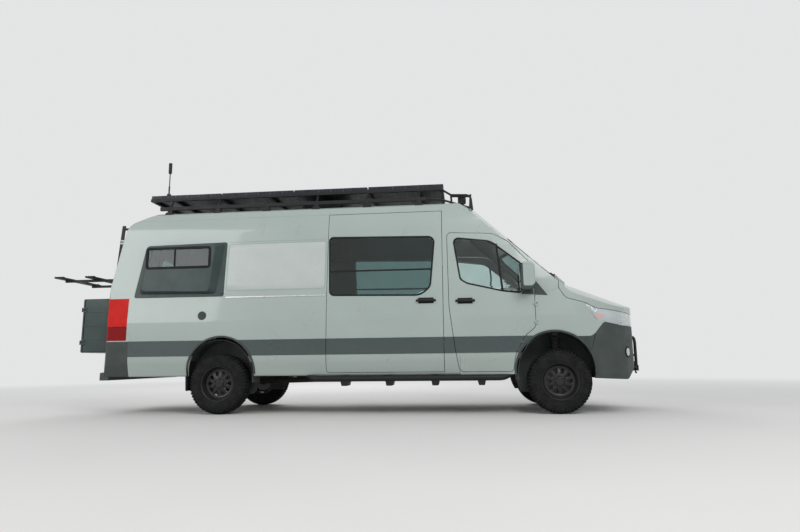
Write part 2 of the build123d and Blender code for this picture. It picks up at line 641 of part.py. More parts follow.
# Chassis rails with cross members
FRAME_REAR = REAR_FACE + 220
FRAME_FRONT = 850
frame = pair(block(FRAME_REAR, FRAME_FRONT, RAIL_INNER, RAIL_OUTER, RAIL_LOW, FLOOR_BOTTOM))
CROSS_MEMBERS = (-5600, -4900, -3600, -2700, -1800, -900)
for x in CROSS_MEMBERS:
    frame += block(x - 40, x + 40, -RAIL_INNER, RAIL_INNER, 560, 630)
pieces["chassis_frame"] = frame
step_arms = [-2653, -2086, -1514, -945]
STEP_Y = 1000
STEP_RADIUS = 36
STEP_Z = SILL - STEP_RADIUS - 2
step_bar = tube([(-3150, 900, 500), (-3030, STEP_Y, STEP_Z), (-680, STEP_Y, STEP_Z), (-560, 900, 500)], STEP_RADIUS, 120)
step_bar -= block(-3300, -400, 0, SIDE, SILL - FIT, 600)
for x in step_arms:
    foot = [(x - 52, 425, 0), (x + 52, 425, 0), (x + 36, 352, 12), (x - 36, 352, 12)]
    step_bar += prism("xz", foot, 800, STEP_Y + 20)
    step_bar += block(x - 36, x + 36, 800, 830, 400, FLOOR_BOTTOM)
pieces["side_steps"] = pair(step_bar)

# Front axle: beam, lower arms and steering rack, then the knuckles that steer about upright pivots
HUB_Z = TYRE_RADIUS
beam = block(-110, 110, -RAIL_INNER, RAIL_INNER, 270, 360)
beam += pair(block(-60, 60, RAIL_INNER, RAIL_OUTER, 270, RAIL_LOW))
lower_arm = [(-160, RAIL_OUTER - 60, 0), (160, RAIL_OUTER - 60, 0), (26, STEER_PIVOT_Y, 0), (-26, STEER_PIVOT_Y, 0)]
beam += pair(prism("xy", lower_arm, 232, 262) + rod((0, STEER_PIVOT_Y, 225), (0, STEER_PIVOT_Y, 270), 26))
beam += pair(block(-160, 160, RAIL_OUTER - 100, RAIL_OUTER - 60, 232, 300))
beam += rod((-150, -420, 330), (-150, 420, 330), 24)
beam += pair(block(-170, -100, 300, 340, 290, 350))
pieces["front_axle"] = beam
SPINDLE_RADIUS = 30
KNUCKLE_TOP = 955 - FIT
for side, name in ((-1, "right"), (1, "left")):
    upright = block(-30, 30, STEER_PIVOT_Y - 26, STEER_PIVOT_Y + 26, 270 + FIT, 620)
    upright += rod((0, STEER_PIVOT_Y, HUB_Z), (0, SPINDLE_TIP, HUB_Z), SPINDLE_RADIUS)
    upright += rod((0, STEER_PIVOT_Y, 600), (0, STEER_PIVOT_Y, KNUCKLE_TOP), 24)
    upright += rod((0, STEER_PIVOT_Y, 800), (0, STEER_PIVOT_Y, 930), 58)
    upright += block(-150, -20, STEER_PIVOT_Y - 50, STEER_PIVOT_Y - 20, 300, 330)
    pieces["knuckle_" + name] = upright if side > 0 else mirror(upright, about=Plane.XZ)

# Rear axle with leaf springs, shafts and what hangs below the floor
SPRING_Y = 560
rear = rod((REAR_AXLE_X, -SPINDLE_TIP, HUB_Z), (REAR_AXLE_X, SPINDLE_TIP, HUB_Z), SPINDLE_RADIUS)
rear += rod((REAR_AXLE_X, -STEER_PIVOT_Y, HUB_Z), (REAR_AXLE_X, STEER_PIVOT_Y, HUB_Z), 50)
GEAR_CASE_RADIUS = 145
for half_width, radius in ((120, 100), (70, GEAR_CASE_RADIUS)):
    rear += rod((REAR_AXLE_X, -half_width, HUB_Z), (REAR_AXLE_X, half_width, HUB_Z), radius)
SPRING_SPAN = 650
spring_outline = [
    (REAR_AXLE_X - SPRING_SPAN, 560, 0),
    (REAR_AXLE_X, 435, 1600),
    (REAR_AXLE_X + SPRING_SPAN, 560, 0),
    (REAR_AXLE_X + SPRING_SPAN, 595, 0),
    (REAR_AXLE_X, 470, 1600),
    (REAR_AXLE_X - SPRING_SPAN, 595, 0),
]
spring = prism("xz", spring_outline, SPRING_Y - 35, SPRING_Y + 35)
spring += block(REAR_AXLE_X - 60, REAR_AXLE_X + 60, SPRING_Y - 40, SPRING_Y + 40, HUB_Z, 480)
spring += block(REAR_AXLE_X - SPRING_SPAN, REAR_AXLE_X - SPRING_SPAN + 60, SPRING_Y - 45, SPRING_Y + 45, 560, FLOOR_BOTTOM)
spring += block(REAR_AXLE_X + SPRING_SPAN - 60, REAR_AXLE_X + SPRING_SPAN, SPRING_Y - 45, SPRING_Y + 45, 560, FLOOR_BOTTOM)
pieces["rear_axle"] = rear + pair(spring)
gear = rod((REAR_AXLE_X + GEAR_CASE_RADIUS + FIT, 0, HUB_Z + 5), (-200, 0, 480), 40)
tank = block(-2600, -1850, 480, 760, 400, FLOOR_BOTTOM)
pipe = tube([(-300, -250, 480), (-3450, -250, 480), (-3560, -330, 500)], 32, 90)
muffler = rod((-3300, -250, 470), (-2750, -250, 470), 90)
hanger = block(-2710, -2690, -262, -238, 500, 560)
pieces["underfloor_gear"] = gear + tank + pipe + muffler + hanger
ENGINE_X = (60, 700)
pieces["engine_block"] = block(*ENGINE_X, -240, 240, 470, 1130) + pair(block(300, 400, 240, RAIL_INNER - FIT, 540, 600))

# Wheels: the tyre in flat-sided sections (side offset, radius), and the rim turned about the hub line
TYRE_SIDES = 60
TYRE_SECTIONS = [(-TYRE_WIDTH / 2, 325), (-112, 366), (-TREAD_HALF, TYRE_RADIUS)]
TYRE_SECTIONS += [(-w, r) for w, r in reversed(TYRE_SECTIONS)]
RIM_LIP = 108
RIM_INNER = 190
RIM_DISH = 30
DISC_THICKNESS = 16
HUB_RADIUS = 70
HUB_DEPTH = -70
HUB_BORE = SPINDLE_RADIUS + FIT
rim_points = [
    (-RIM_LIP, RIM_RADIUS),
    (RIM_LIP, RIM_RADIUS),
    (RIM_LIP, RIM_INNER),
    (RIM_DISH, RIM_INNER),
    (RIM_DISH, HUB_BORE),
    (HUB_DEPTH, HUB_BORE),
    (HUB_DEPTH, HUB_RADIUS),
    (RIM_DISH - DISC_THICKNESS, HUB_RADIUS),
    (RIM_DISH - DISC_THICKNESS, RIM_INNER),
    (-RIM_LIP, RIM_INNER),
]
WINDOWS = 10
for x, end in ((0, "front"), (REAR_AXLE_X, "rear")):
    for side, name in ((-1, "right"), (1, "left")):
        centre_y = side * TRACK / 2
        axis = Axis((x, centre_y, HUB_Z), (0, 1, 0))
        rings = []
        for offset, radius in TYRE_SECTIONS:
            ring_plane = Plane(origin=(x, centre_y + offset, HUB_Z), x_dir=(0, 0, -1), z_dir=(0, 1, 0))
            ring = RegularPolygon(radius, TYRE_SIDES, major_radius=False, rotation=180 / TYRE_SIDES)
            rings.append(ring_plane * ring)
        tyre = loft(rings, ruled=True)
        tyre -= rod((x, centre_y - TYRE_WIDTH, HUB_Z), (x, centre_y + TYRE_WIDTH, HUB_Z), RIM_RADIUS + FIT)
        rim = Face(Wire(Polyline([(x, centre_y + side * w, HUB_Z + r) for w, r in rim_points], close=True).edges()))
        rim = revolve(rim, axis, 360)
        for i in range(WINDOWS):
            hole = prism("xz", [(x - 16, HUB_Z + 90, 0), (x + 16, HUB_Z + 90, 0), (x + 30, HUB_Z + 150, 0), (x - 30, HUB_Z + 150, 0)],
                         centre_y - 100, centre_y + 100)
            rim -= hole.rotate(axis, i * 360 / WINDOWS)
        pieces[f"tyre_{end}_{name}"] = tyre
        pieces[f"rim_{end}_{name}"] = rim

# Cab furniture
dash_outline = [(-110 - FIT, 1020, 0), (-110 - FIT, 1500 + FIT, 0), (0, 1500 + FIT, 0), (20, 1560, 30), (-330, 1545, 60), (-455, 1470, 60),
                (-470, 1330, 60), (-360, 1150, 60), (-300, 1020, 40)]
pieces["dashboard"] = prism("xz", dash_outline, -930, 930) & room
WHEEL_CENTRE = (-600, 450, 1400)
column = Plane(origin=WHEEL_CENTRE, z_dir=(-0.72, 0, 0.69))
steering = column * (Cylinder(200, 26) - Cylinder(172, 26))
steering += column * Pos(0, 0, -30) * Cylinder(50, 30)
for angle in (0, 130, 230):
    steering += column * (Rot(0, 0, angle) * Pos(95, 0, -15) * Box(190, 26, 12))
steering += rod(WHEEL_CENTRE, (-447 + 0.5, 450, 1253.4), 22)
pieces["steering_wheel"] = steering - prism("xz", inset_outline(dash_outline, -FIT), -930, 930)
SEAT_YS = (-450, 450)
bases = None
seats = None
for y in SEAT_YS:
    base = block(-1230, -800, y - 200, y + 200, FLOOR_TOP, 1010)
    cushion = prism("xz", [(-1260, 1010 + FIT, 20), (-720, 1010 + FIT, 60), (-700, 1140, 50), (-1200, 1120, 0), (-1330, 1700, 50),
                           (-1345, 1760, 20), (-1400, 1760, 20), (-1440, 1700, 60), (-1330, 1100, 60)], y - 240, y + 240)
    cushion += block(-1420, -1340, y - 130, y + 130, 1750, 1930)
    bases = base if bases is None else bases + base
    seats = cushion if seats is None else seats + cushion
pieces["seat_bases"] = bases
pieces["cab_seats"] = seats

# Living space: bed over the rear load floor, galley and lockers
BED_LOW = 1420
BED_TOP = 1480
BED_REAR = REAR_FACE + WALL + 30
BED_FRONT = -4300
bed = (room & block(BED_REAR, BED_FRONT, -SIDE, SIDE, BED_LOW, BED_TOP))
for x in (BED_REAR + 60, BED_FRONT - 60):
    bed += pair(block(x - 25, x + 25, 560, 610, FLOOR_TOP, BED_LOW))
pieces["bed_platform"] = bed
mattress = block(BED_REAR + 20, BED_FRONT - 10, -900, 900, BED_TOP + FIT, BED_TOP + 130)
pieces["mattress"] = mattress
galley = block(-3900, -2100, 480, 900, FLOOR_TOP, 1440)
galley -= block(-3850, -2150, 470, 880, FLOOR_TOP + 60, 1400)
lockers = pair(prism("yz", [(640, 2240, 20), (640, 2520, 0), (900, 2520, 0), (900, 2240, 0)], -4200, -3000))
lockers = lockers & floor_space
pieces["cabinets"] = galley + lockers

# Roof load: side rails on feet, posts, deck frame, hoop with lamps, solar panels, vent and antenna
RACK_FRONT = -1600
RACK_REAR = -5350
rack = block(RACK_REAR, RACK_FRONT, RAIL_Y - 18, RAIL_Y + 18, 2775, 2825)
for x in (-5200, -4500, -3800, -3100, -2400, -1700):
    rack += block(x - 35, x + 35, RAIL_Y - 25, RAIL_Y + 25, 2600, 2776) - seat_form
    rack += rod((x, RAIL_Y, 2820), (x, DECK_Y, DECK_LOW + 5), 13)
    rack += block(x - 20, x + 20, -1, DECK_Y, DECK_LOW, DECK_LOW + DECK_THICKNESS)
rack += block(DECK_REAR, DECK_FRONT, DECK_Y - 20, DECK_Y + 20, DECK_LOW, DECK_LOW + DECK_THICKNESS)
rack += block(DECK_REAR, DECK_REAR + 40, -1, DECK_Y, DECK_LOW, DECK_LOW + DECK_THICKNESS)
rack += block(DECK_FRONT - 40, DECK_FRONT, -1, DECK_Y, DECK_LOW, DECK_LOW + DECK_THICKNESS)
hoop = tube([(-1400, 680, 2945), (-1270, 680, 2860), (-1010, 680, 2850), (-990, 680, 2640)], 14, 60)
hoop += tube([(RACK_FRONT - 20, RAIL_Y - 10, 2800), (-1400, 720, 2790), (-1000, 680, 2668)], 14, 300)
hoop += rod((-1010, 0, 2850), (-1010, 680, 2850), 14)
hoop += block(-1180, -1090, 560, 640, 2750, 2850)
hoop += rod((-1270, 0, 2860), (-1270, 680, 2860), 14)
hoop += block(-1145, -1125, 600, 620, 2840, 2862) + rod((-1270, 600, 2860), (-1010, 600, 2850), 10)
hoop -= seat_form
pieces["roof_rack"] = pair(rack + hoop)
PANEL_GAP = 20
PANELS = 4
panel_length = (DECK_FRONT - DECK_REAR - PANEL_GAP * (PANELS - 1)) / PANELS
deck = None
for i in range(PANELS):
    start = DECK_REAR + i * (panel_length + PANEL_GAP)
    panel = block(start, start + panel_length, -DECK_Y, DECK_Y, PANEL_LOW, PANEL_TOP)
    deck = panel if deck is None else deck + panel
pieces["solar_deck"] = deck
vent = block(-3420, -2850, -330, 330, 2650, 2900) - seat_form
VENT_SLOTS = 8
for i in range(VENT_SLOTS):
    x = -3380 + i * 65
    vent -= pair(block(x, x + 40, 315, 340, 2810, 2870))
pieces["roof_vent"] = vent
mast = rod((-5310, -620, PANEL_TOP), (-5310, -620, 3380), 7) + rod((-5310, -620, 3370), (-5310, -620, ANTENNA_TOP), 24)
mast += rod((-5310, -620, PANEL_TOP), (-5310, -620, PANEL_TOP + 40), 30)
pieces["antenna_mast"] = mast

# Nudge bar with two towing eyes
BAR_X = 1064
bar = tube([(BAR_X, 0, 930), (BAR_X, 370, 930), (BAR_X, 370, 552)], 19, 70)
bar += rod((BAR_X, 0, 700), (BAR_X, 362, 700), 14)
bar += block(NOSE - 80, BAR_X, 358, 382, 570, 620) - seat_form
eye = block(NOSE - 100, FRONT_REACH, 360, 380, 500, 570)
eye -= rod((FRONT_REACH - 32, 300, 535), (FRONT_REACH - 32, 400, 535), 14)
bar += eye - seat_form
pieces["nudge_bar"] = pair(bar)

os.makedirs("parts", exist_ok=True)
for name, shape in pieces.items():
    moved = Pos(SHIFT, 0, 0) * shape
    export_step(moved, f"parts/{name}.step")
print(len(pieces), "pieces")
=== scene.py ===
import json
import math

import bmesh
import bpy
from mathutils import Matrix, Vector
from mathutils.bvhtree import BVHTree


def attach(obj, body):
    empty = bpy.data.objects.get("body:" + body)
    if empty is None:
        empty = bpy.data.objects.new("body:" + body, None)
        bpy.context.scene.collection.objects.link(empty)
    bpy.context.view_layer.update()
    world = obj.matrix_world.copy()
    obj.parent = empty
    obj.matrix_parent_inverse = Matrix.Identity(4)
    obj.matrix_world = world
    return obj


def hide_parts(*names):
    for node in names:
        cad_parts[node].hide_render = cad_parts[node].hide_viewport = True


scene = bpy.context.scene
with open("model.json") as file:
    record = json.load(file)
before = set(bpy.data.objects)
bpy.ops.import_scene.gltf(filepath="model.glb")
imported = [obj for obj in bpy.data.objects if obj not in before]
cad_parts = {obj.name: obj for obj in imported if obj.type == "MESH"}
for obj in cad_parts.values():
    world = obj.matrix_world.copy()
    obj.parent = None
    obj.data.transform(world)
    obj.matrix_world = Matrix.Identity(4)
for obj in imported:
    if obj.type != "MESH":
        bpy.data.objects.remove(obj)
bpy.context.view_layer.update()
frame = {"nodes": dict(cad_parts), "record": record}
nodes = frame["nodes"]

# Forms are laid out in millimetres from the middle of the front axle on the ground, with X forward,
# Y to the left and Z up. to_row turns such a point into the frame's metres.
MM = 0.001
SHIFT = 2.825
WHEELBASE = 4325
TRACK = 1710
HUB_Z = 387.5
SIDES = ((-1, "right"), (1, "left"))


def to_row(point):
    return Vector((point[0] * MM + SHIFT, point[1] * MM, point[2] * MM))


def from_row(point):
    return Vector(((point[0] - SHIFT) / MM, point[1] / MM, point[2] / MM))


def joined(name, data):
    """Object of the data, linked to the scene."""
    made = bpy.data.objects.new(name, data)
    scene.collection.objects.link(made)
    return made


# Materials
class Finish:
    """Node material with a principled shader, built from a few kinds of pattern."""

    def __init__(self, name, colour, roughness, metallic=0.0, **sockets):
        self.material = bpy.data.materials.new(name)
        self.material.use_nodes = True
        self.tree = self.material.node_tree
        self.shader = self.tree.nodes["Principled BSDF"]
        self.shader.inputs["Base Color"].default_value = (*colour, 1)
        self.shader.inputs["Roughness"].default_value = roughness
        self.shader.inputs["Metallic"].default_value = metallic
        for key, value in sockets.items():
            self.shader.inputs[key.replace("_", " ")].default_value = value
        self.colour = tuple(colour)
        self.coords = self.node("TexCoord").outputs
        self.place = self.coords["Object"]

    def node(self, kind, settings=None, **inputs):
        made = self.tree.nodes.new("ShaderNode" + kind)
        for key, value in (settings or {}).items():
            setattr(made, key, value)
        for key, value in inputs.items():
            self.put(made.inputs[key.replace("_", " ")], value)
        return made

    def put(self, socket, value):
        if isinstance(value, bpy.types.NodeSocket):
            self.tree.links.new(value, socket)
        else:
            socket.default_value = value

    def math(self, operation, a, b=0.0):
        made = self.tree.nodes.new("ShaderNodeMath")
        made.operation = operation
        self.put(made.inputs[0], a)
        self.put(made.inputs[1], b)
        return made.outputs[0]

    def step(self, value, low, high, start=0.0, end=1.0):
        """Number that goes from start to end while value goes from low to high."""
        made = self.node("MapRange", Value=value, From_Min=low, From_Max=high, To_Min=start, To_Max=end)
        return made.outputs["Result"]

    def within(self, value, low, high):
        """One between low and high, and nought outside."""
        above = self.step(value, low - EDGE, low)
        return self.math("MULTIPLY", above, self.step(value, high + EDGE, high))

    def axes(self, vector=None):
        return self.node("SeparateXYZ", Vector=vector or self.place).outputs

    def stretched(self, x, y, z):
        return self.node("Mapping", Vector=self.place, Scale=(x, y, z)).outputs[0]

    def noise(self, scale, detail, vector=None):
        return self.node("TexNoise", Vector=vector or self.place, Scale=scale, Detail=detail).outputs["Fac"]

    def mix(self, factor, a, b):
        made = self.tree.nodes.new("ShaderNodeMix")
        made.data_type = "RGBA"
        for index, value in ((0, factor), (6, a), (7, b)):
            if isinstance(value, tuple) and len(value) == 3:
                value = (*value, 1)
            self.put(made.inputs[index], value)
        return made.outputs[2]

    def vary(self, scale, amount):
        """Colour that wanders a little about the finish's own."""
        dark = tuple(c * (1 - amount) for c in self.colour)
        light = tuple(min(1, c * (1 + amount)) for c in self.colour)
        return self.mix(self.step(self.noise(scale, 5.0), 0.3, 0.7), dark, light)

    def dust(self, base, low, high, amount):
        """Dust that thickens from the height high down to low."""
        near = self.step(self.axes()["Z"], high, low, 0.0, amount)
        patch = self.step(self.noise(6.0, 6.0), 0.25, 0.75, 0.35, 1.0)
        return self.mix(self.math("MULTIPLY", near, patch), base, DUST)

    def colour_from(self, socket):
        self.put(self.shader.inputs["Base Color"], socket)
        return self

    def rough(self, low, high, scale):
        self.put(self.shader.inputs["Roughness"], self.step(self.noise(scale, 4.0), 0.3, 0.7, low, high))
        return self

    def bump(self, height, distance, strength):
        made = self.node("Bump", Strength=strength, Distance=distance, Height=height)
        self.put(self.shader.inputs["Normal"], made.outputs[0])
        return self


SAGE = (0.31, 0.365, 0.34)
STRIPE = (0.02, 0.041, 0.039)
LINING = (0.52, 0.5, 0.46)
DUST = (0.38, 0.33, 0.26)
STRIPE_HEIGHTS = (0.7445, 0.9455)
STRIPE_ENDS = (-5.556 + SHIFT, 0.18 + SHIFT)
EDGE = 0.0002
# The lining starts behind CABIN_FRONT, where the surface faces the middle of the van at FORM_CENTRE_Z;
# LENGTH_WEIGHT is how much the direction along the van counts there
CABIN_FRONT = -0.15 + SHIFT
FORM_CENTRE_Z = 1.55
LENGTH_WEIGHT = 0.3
# Height of the line that divides the tail lamps
DIVIDE_Z = 1.138


def paint_finish():
    """Body paint with the dark stripe along the side, and a pale lining where the surface faces inwards."""
    made = Finish("paint_sage", SAGE, 0.32, Coat_Weight=0.7, Coat_Roughness=0.06)
    place = made.axes()
    facing = made.axes(made.coords["Normal"])
    outward_y = made.math("MULTIPLY", place["Y"], facing["Y"])
    outward_z = made.math("MULTIPLY", made.math("SUBTRACT", place["Z"], FORM_CENTRE_Z), facing["Z"])
    outward_x = made.math("MULTIPLY", made.math("MULTIPLY", place["X"], LENGTH_WEIGHT), facing["X"])
    outward = made.math("ADD", made.math("ADD", outward_x, outward_y), outward_z)
    cabin = made.step(place["X"], CABIN_FRONT, CABIN_FRONT - 0.01)
    inner = made.math("MULTIPLY", made.step(outward, -0.2, -0.25), cabin)
    high = made.within(place["Z"], *STRIPE_HEIGHTS)
    stripe = made.math("MULTIPLY", high, made.within(place["X"], *STRIPE_ENDS))
    paint = made.mix(stripe, made.vary(1.2, 0.03), STRIPE)
    paint = made.dust(paint, 0.45, 1.0, 0.07)
    made.colour_from(made.mix(inner, paint, LINING))
    made.rough(0.26, 0.36, 2.5)
    return made.bump(made.noise(900.0, 1.0), 0.0002, 0.05)


def glass_finish(name, colour):
    """Tinted glass with a faint dust film."""
    made = Finish(name, colour, 0.0, Transmission_Weight=1.0, IOR=1.45)
    film = made.step(made.noise(5.0, 6.0), 0.35, 0.75, 0.0, 1.0)
    made.colour_from(made.mix(made.math("MULTIPLY", film, 0.25), colour, tuple(c * 0.75 for c in colour)))
    return made.rough(0.0, 0.02, 7.0)


def solar_finish():
    """Dark cells with fine silver lines under glass."""
    made = Finish("solar_cells", (0.013, 0.015, 0.024), 0.4, Coat_Weight=0.1, Coat_Roughness=0.3,
                  Specular_IOR_Level=0.2)
    place = made.axes()
    lines = None
    for axis, pitch, width in (("X", 0.173, 0.003), ("Y", 0.17, 0.003), ("X", 0.0577, 0.0011)):
        phase = made.math("FRACT", made.math("DIVIDE", made.math("ADD", place[axis], 20.0), pitch))
        on = made.math("LESS_THAN", phase, width / pitch)
        lines = on if lines is None else made.math("MAXIMUM", lines, on)
    cells = made.vary(4.0, 0.35)
    made.colour_from(made.mix(lines, cells, (0.16, 0.17, 0.18)))
    return made.rough(0.38, 0.5, 12.0)


def fabric_finish(name, colour, pitch, distance):
    """Plain weave from two crossing waves."""
    made = Finish(name, colour, 0.9, Sheen_Weight=0.3, Sheen_Roughness=0.5)
    waves = [made.node("TexWave", {"bands_direction": axis}, Vector=made.place, Scale=1 / pitch,
                       Distortion=0.6, Detail=1.0) for axis in ("X", "Z")]
    weave = made.math("MULTIPLY", *[wave.outputs["Fac"] for wave in waves])
    tone = made.vary(9.0, 0.14)
    made.colour_from(made.mix(made.math("MULTIPLY", weave, 0.35), tone, tuple(c * 0.55 for c in colour)))
    made.rough(0.82, 0.96, 20.0)
    return made.bump(weave, distance, 0.5)


def wood_finish():
    made = Finish("birch_ply", (0.42, 0.29, 0.17), 0.45, Coat_Weight=0.25, Coat_Roughness=0.2)
    grain = made.noise(18.0, 8.0, made.stretched(0.6, 6.0, 6.0))
    made.colour_from(made.mix(made.step(grain, 0.35, 0.68), (0.36, 0.24, 0.135), (0.5, 0.36, 0.215)))
    made.rough(0.38, 0.55, 10.0)
    return made.bump(grain, 0.0004, 0.25)


# A colour this light shows blotches sooner and varies less
PALE_FROM = 0.3


def moulded(name, colour, roughness, grain=700.0, dust=0.0, metallic=0.0, coat=0.0):
    """Plastic, powder coat or rubber: fine grain, uneven sheen and some dust."""
    made = Finish(name, colour, roughness, metallic, Coat_Weight=coat, Coat_Roughness=0.15,
                  Specular_IOR_Level=0.25)
    tone = made.vary(5.0, 0.16 if max(colour) < PALE_FROM else 0.03)
    if dust:
        tone = made.dust(tone, 0.1, 1.1, dust)
    made.colour_from(tone)
    made.rough(max(0.05, roughness - 0.08), min(1.0, roughness + 0.1), 9.0)
    return made.bump(made.noise(grain, 2.0), 0.0003, 0.3)


def tyre_finish():
    """Rubber with dust on the tread and in the sidewall's hollows."""
    made = Finish("tyre_rubber", (0.0085, 0.0095, 0.009), 0.8, Specular_IOR_Level=0.15)
    dusty = made.step(made.noise(14.0, 7.0), 0.42, 0.72, 0.0, 0.3)
    made.colour_from(made.mix(dusty, made.vary(30.0, 0.2), (0.035, 0.034, 0.031)))
    made.rough(0.72, 0.92, 25.0)
    return made.bump(made.noise(450.0, 3.0), 0.0005, 0.4)


def metal_finish(name, colour, roughness):
    """Bare or plated metal with fine brushed marks."""
    made = Finish(name, colour, roughness, 1.0)
    made.colour_from(made.vary(12.0, 0.1))
    made.rough(max(0.02, roughness - 0.07), roughness + 0.1, 40.0)
    return made.bump(made.noise(300.0, 2.0, made.stretched(1.0, 6.0, 6.0)), 0.0001, 0.15)


FINISHES = {
    "body_paint": paint_finish(),
    "dark_paint": moulded("paint_dark", (0.032, 0.052, 0.048), 0.42, 900.0, 0.05, coat=0.15),
    "dark_trim": moulded("trim_dark", (0.044, 0.055, 0.051), 0.55, 700.0, 0.05),
    "rack_metal": moulded("powder_coat", (0.012, 0.013, 0.0125), 0.5, 900.0),
    "chassis_metal": moulded("underbody", (0.014, 0.0145, 0.014), 0.65, 300.0, 0.12),
    "glass": glass_finish("glass_teal", (0.30, 0.42, 0.41)),
    "lamp_clear": Finish("lens_clear", (0.62, 0.66, 0.67), 0.06, Coat_Weight=1.0, Coat_Roughness=0.02,
                         Transmission_Weight=0.4),
    "lamp_red": Finish("lens_red", (0.5, 0.012, 0.008), 0.45, Specular_IOR_Level=0.12),
    "tyre": tyre_finish(),
    "wheel_black": moulded("wheel_satin", (0.008, 0.0095, 0.0095), 0.36, 900.0, 0.03, coat=0.2),
    "solar": solar_finish(),
    "seat_fabric": fabric_finish("seat_cloth", (0.09, 0.1, 0.1), 0.004, 0.0006),
    "bedding": fabric_finish("bed_linen", (0.5, 0.47, 0.42), 0.003, 0.0004),
    "interior_plastic": moulded("cab_plastic", (0.055, 0.06, 0.06), 0.6, 600.0),
    "floor_lining": moulded("floor_vinyl", (0.17, 0.16, 0.145), 0.55, 250.0),
    "cabinet_wood": wood_finish(),
    "engine_metal": moulded("cast_metal", (0.13, 0.13, 0.13), 0.5, 200.0, 0.2, metallic=0.8),
    "steel": metal_finish("plated_steel", (0.6, 0.6, 0.58), 0.3),
    "bright": metal_finish("chrome", (0.8, 0.8, 0.8), 0.08),
    "rubber": moulded("seal_rubber", (0.007, 0.008, 0.008), 0.7, 500.0),
    "cap_paint": moulded("cap_sage", SAGE, 0.32, 900.0, coat=0.7),
    "amber": Finish("lens_amber", (0.6, 0.33, 0.27), 0.2, Coat_Weight=0.5),
    "clear_cab": glass_finish("glass_cab", (0.66, 0.77, 0.75)),
    "pale_paint": moulded("panel_sage", (0.42, 0.455, 0.435), 0.34, 900.0, coat=0.6),
    "linen": moulded("panel_pale", (0.6, 0.6, 0.57), 0.5, 400.0),
}
# The tail lamps are darker below their dividing line
lens_red = FINISHES["lamp_red"]
upper = lens_red.step(lens_red.axes()["Z"], DIVIDE_Z - 0.001, DIVIDE_Z + 0.001)
lens_red.colour_from(lens_red.mix(upper, (0.2, 0.004, 0.005), lens_red.vary(8.0, 0.12)))
for name, scale, amount in (("lamp_clear", 6.0, 0.06), ("amber", 8.0, 0.15)):
    FINISHES[name].colour_from(FINISHES[name].vary(scale, amount))


# Mesh forms
PLANES = {"xz": (0, 2, 1), "yz": (1, 2, 0), "xy": (0, 1, 2)}
AXES = {"x": Vector((1, 0, 0)), "y": Vector((0, 1, 0)), "z": Vector((0, 0, 1))}


def placed(plane, u, v, w):
    point = [0.0, 0.0, 0.0]
    for index, value in zip(PLANES[plane], (u, v, w)):
        point[index] = value
    return Vector(point)


def pair(side, near, far):
    """Low and high Y of what lies between near and far from the van's middle."""
    return sorted((side * near, side * far))


def circle(centre, across, up, radius, sides):
    turn = 2 * math.pi / sides
    return [centre + (across * math.cos(i * turn) + up * math.sin(i * turn)) * radius for i in range(sides)]


def turns(start, end, parts):
    """Angles from start to end, which are in degrees."""
    return [math.radians(start + (end - start) * k / parts) for k in range(parts + 1)]


def arc(u, v, radius, start, end, parts):
    return [(u + radius * math.cos(t), v + radius * math.sin(t)) for t in turns(start, end, parts)]


def coil(centre, radius, rise, step, count):
    """Line that winds about an upright axis and rises so much a radian."""
    angles = [k * step for k in range(count)]
    return [Vector(centre) + Vector((radius * math.cos(t), radius * math.sin(t), rise * t)) for t in angles]


def square_to(direction):
    """Two unit vectors square to a direction and to each other."""
    direction = Vector(direction).normalized()
    helper = AXES["z"] if abs(direction.z) < 0.9 else AXES["x"]
    across = direction.cross(helper).normalized()
    return across, direction.cross(across).normalized()


def directions(path, closed=False):
    """Unit vector along a line at each of its points."""
    count = len(path)
    made = []
    for i, here in enumerate(path):
        before = path[i - 1] if closed or i > 0 else here
        after = path[(i + 1) % count] if closed or i + 1 < count else here
        made.append((after - before).normalized())
    return made


def rounded(outline, steps=6):
    """Points of a closed outline of (u, v, corner radius)."""
    points = []
    count = len(outline)
    for i in range(count):
        here = Vector(outline[i][:2])
        back = (Vector(outline[i - 1][:2]) - here).normalized()
        ahead = (Vector(outline[(i + 1) % count][:2]) - here).normalized()
        radius = outline[i][2]
        half = math.acos(max(-1, min(1, back.dot(ahead)))) / 2
        middle = here + (back + ahead).normalized() * (radius / math.sin(half))
        start = here + back * (radius / math.tan(half)) - middle
        end = here + ahead * (radius / math.tan(half)) - middle
        sweep = start.angle_signed(end)
        for k in range(steps + 1):
            turn = -sweep * k / steps
            points.append(middle + Vector((start.x * math.cos(turn) - start.y * math.sin(turn),
                                           start.x * math.sin(turn) + start.y * math.cos(turn))))
    return points


def rectangle(u, v, *radii, steps=6):
    """Rounded outline between two values of u and of v; the radii go round its corners."""
    corners = ((u[0], v[0]), (u[1], v[0]), (u[1], v[1]), (u[0], v[1]))
    return rounded([(*corner, radii[i % len(radii)]) for i, corner in enumerate(corners)], steps)


def divided(points, gap, closed):
    """The same line with points no further apart than gap."""
    made = []
    count = len(points)
    for i in range(count if closed else count - 1):
        start, end = points[i], points[(i + 1) % count]
        parts = max(1, math.ceil((end - start).length / gap))
        made += [start.lerp(end, k / parts) for k in range(parts)]
    return made if closed else made + [points[-1]]


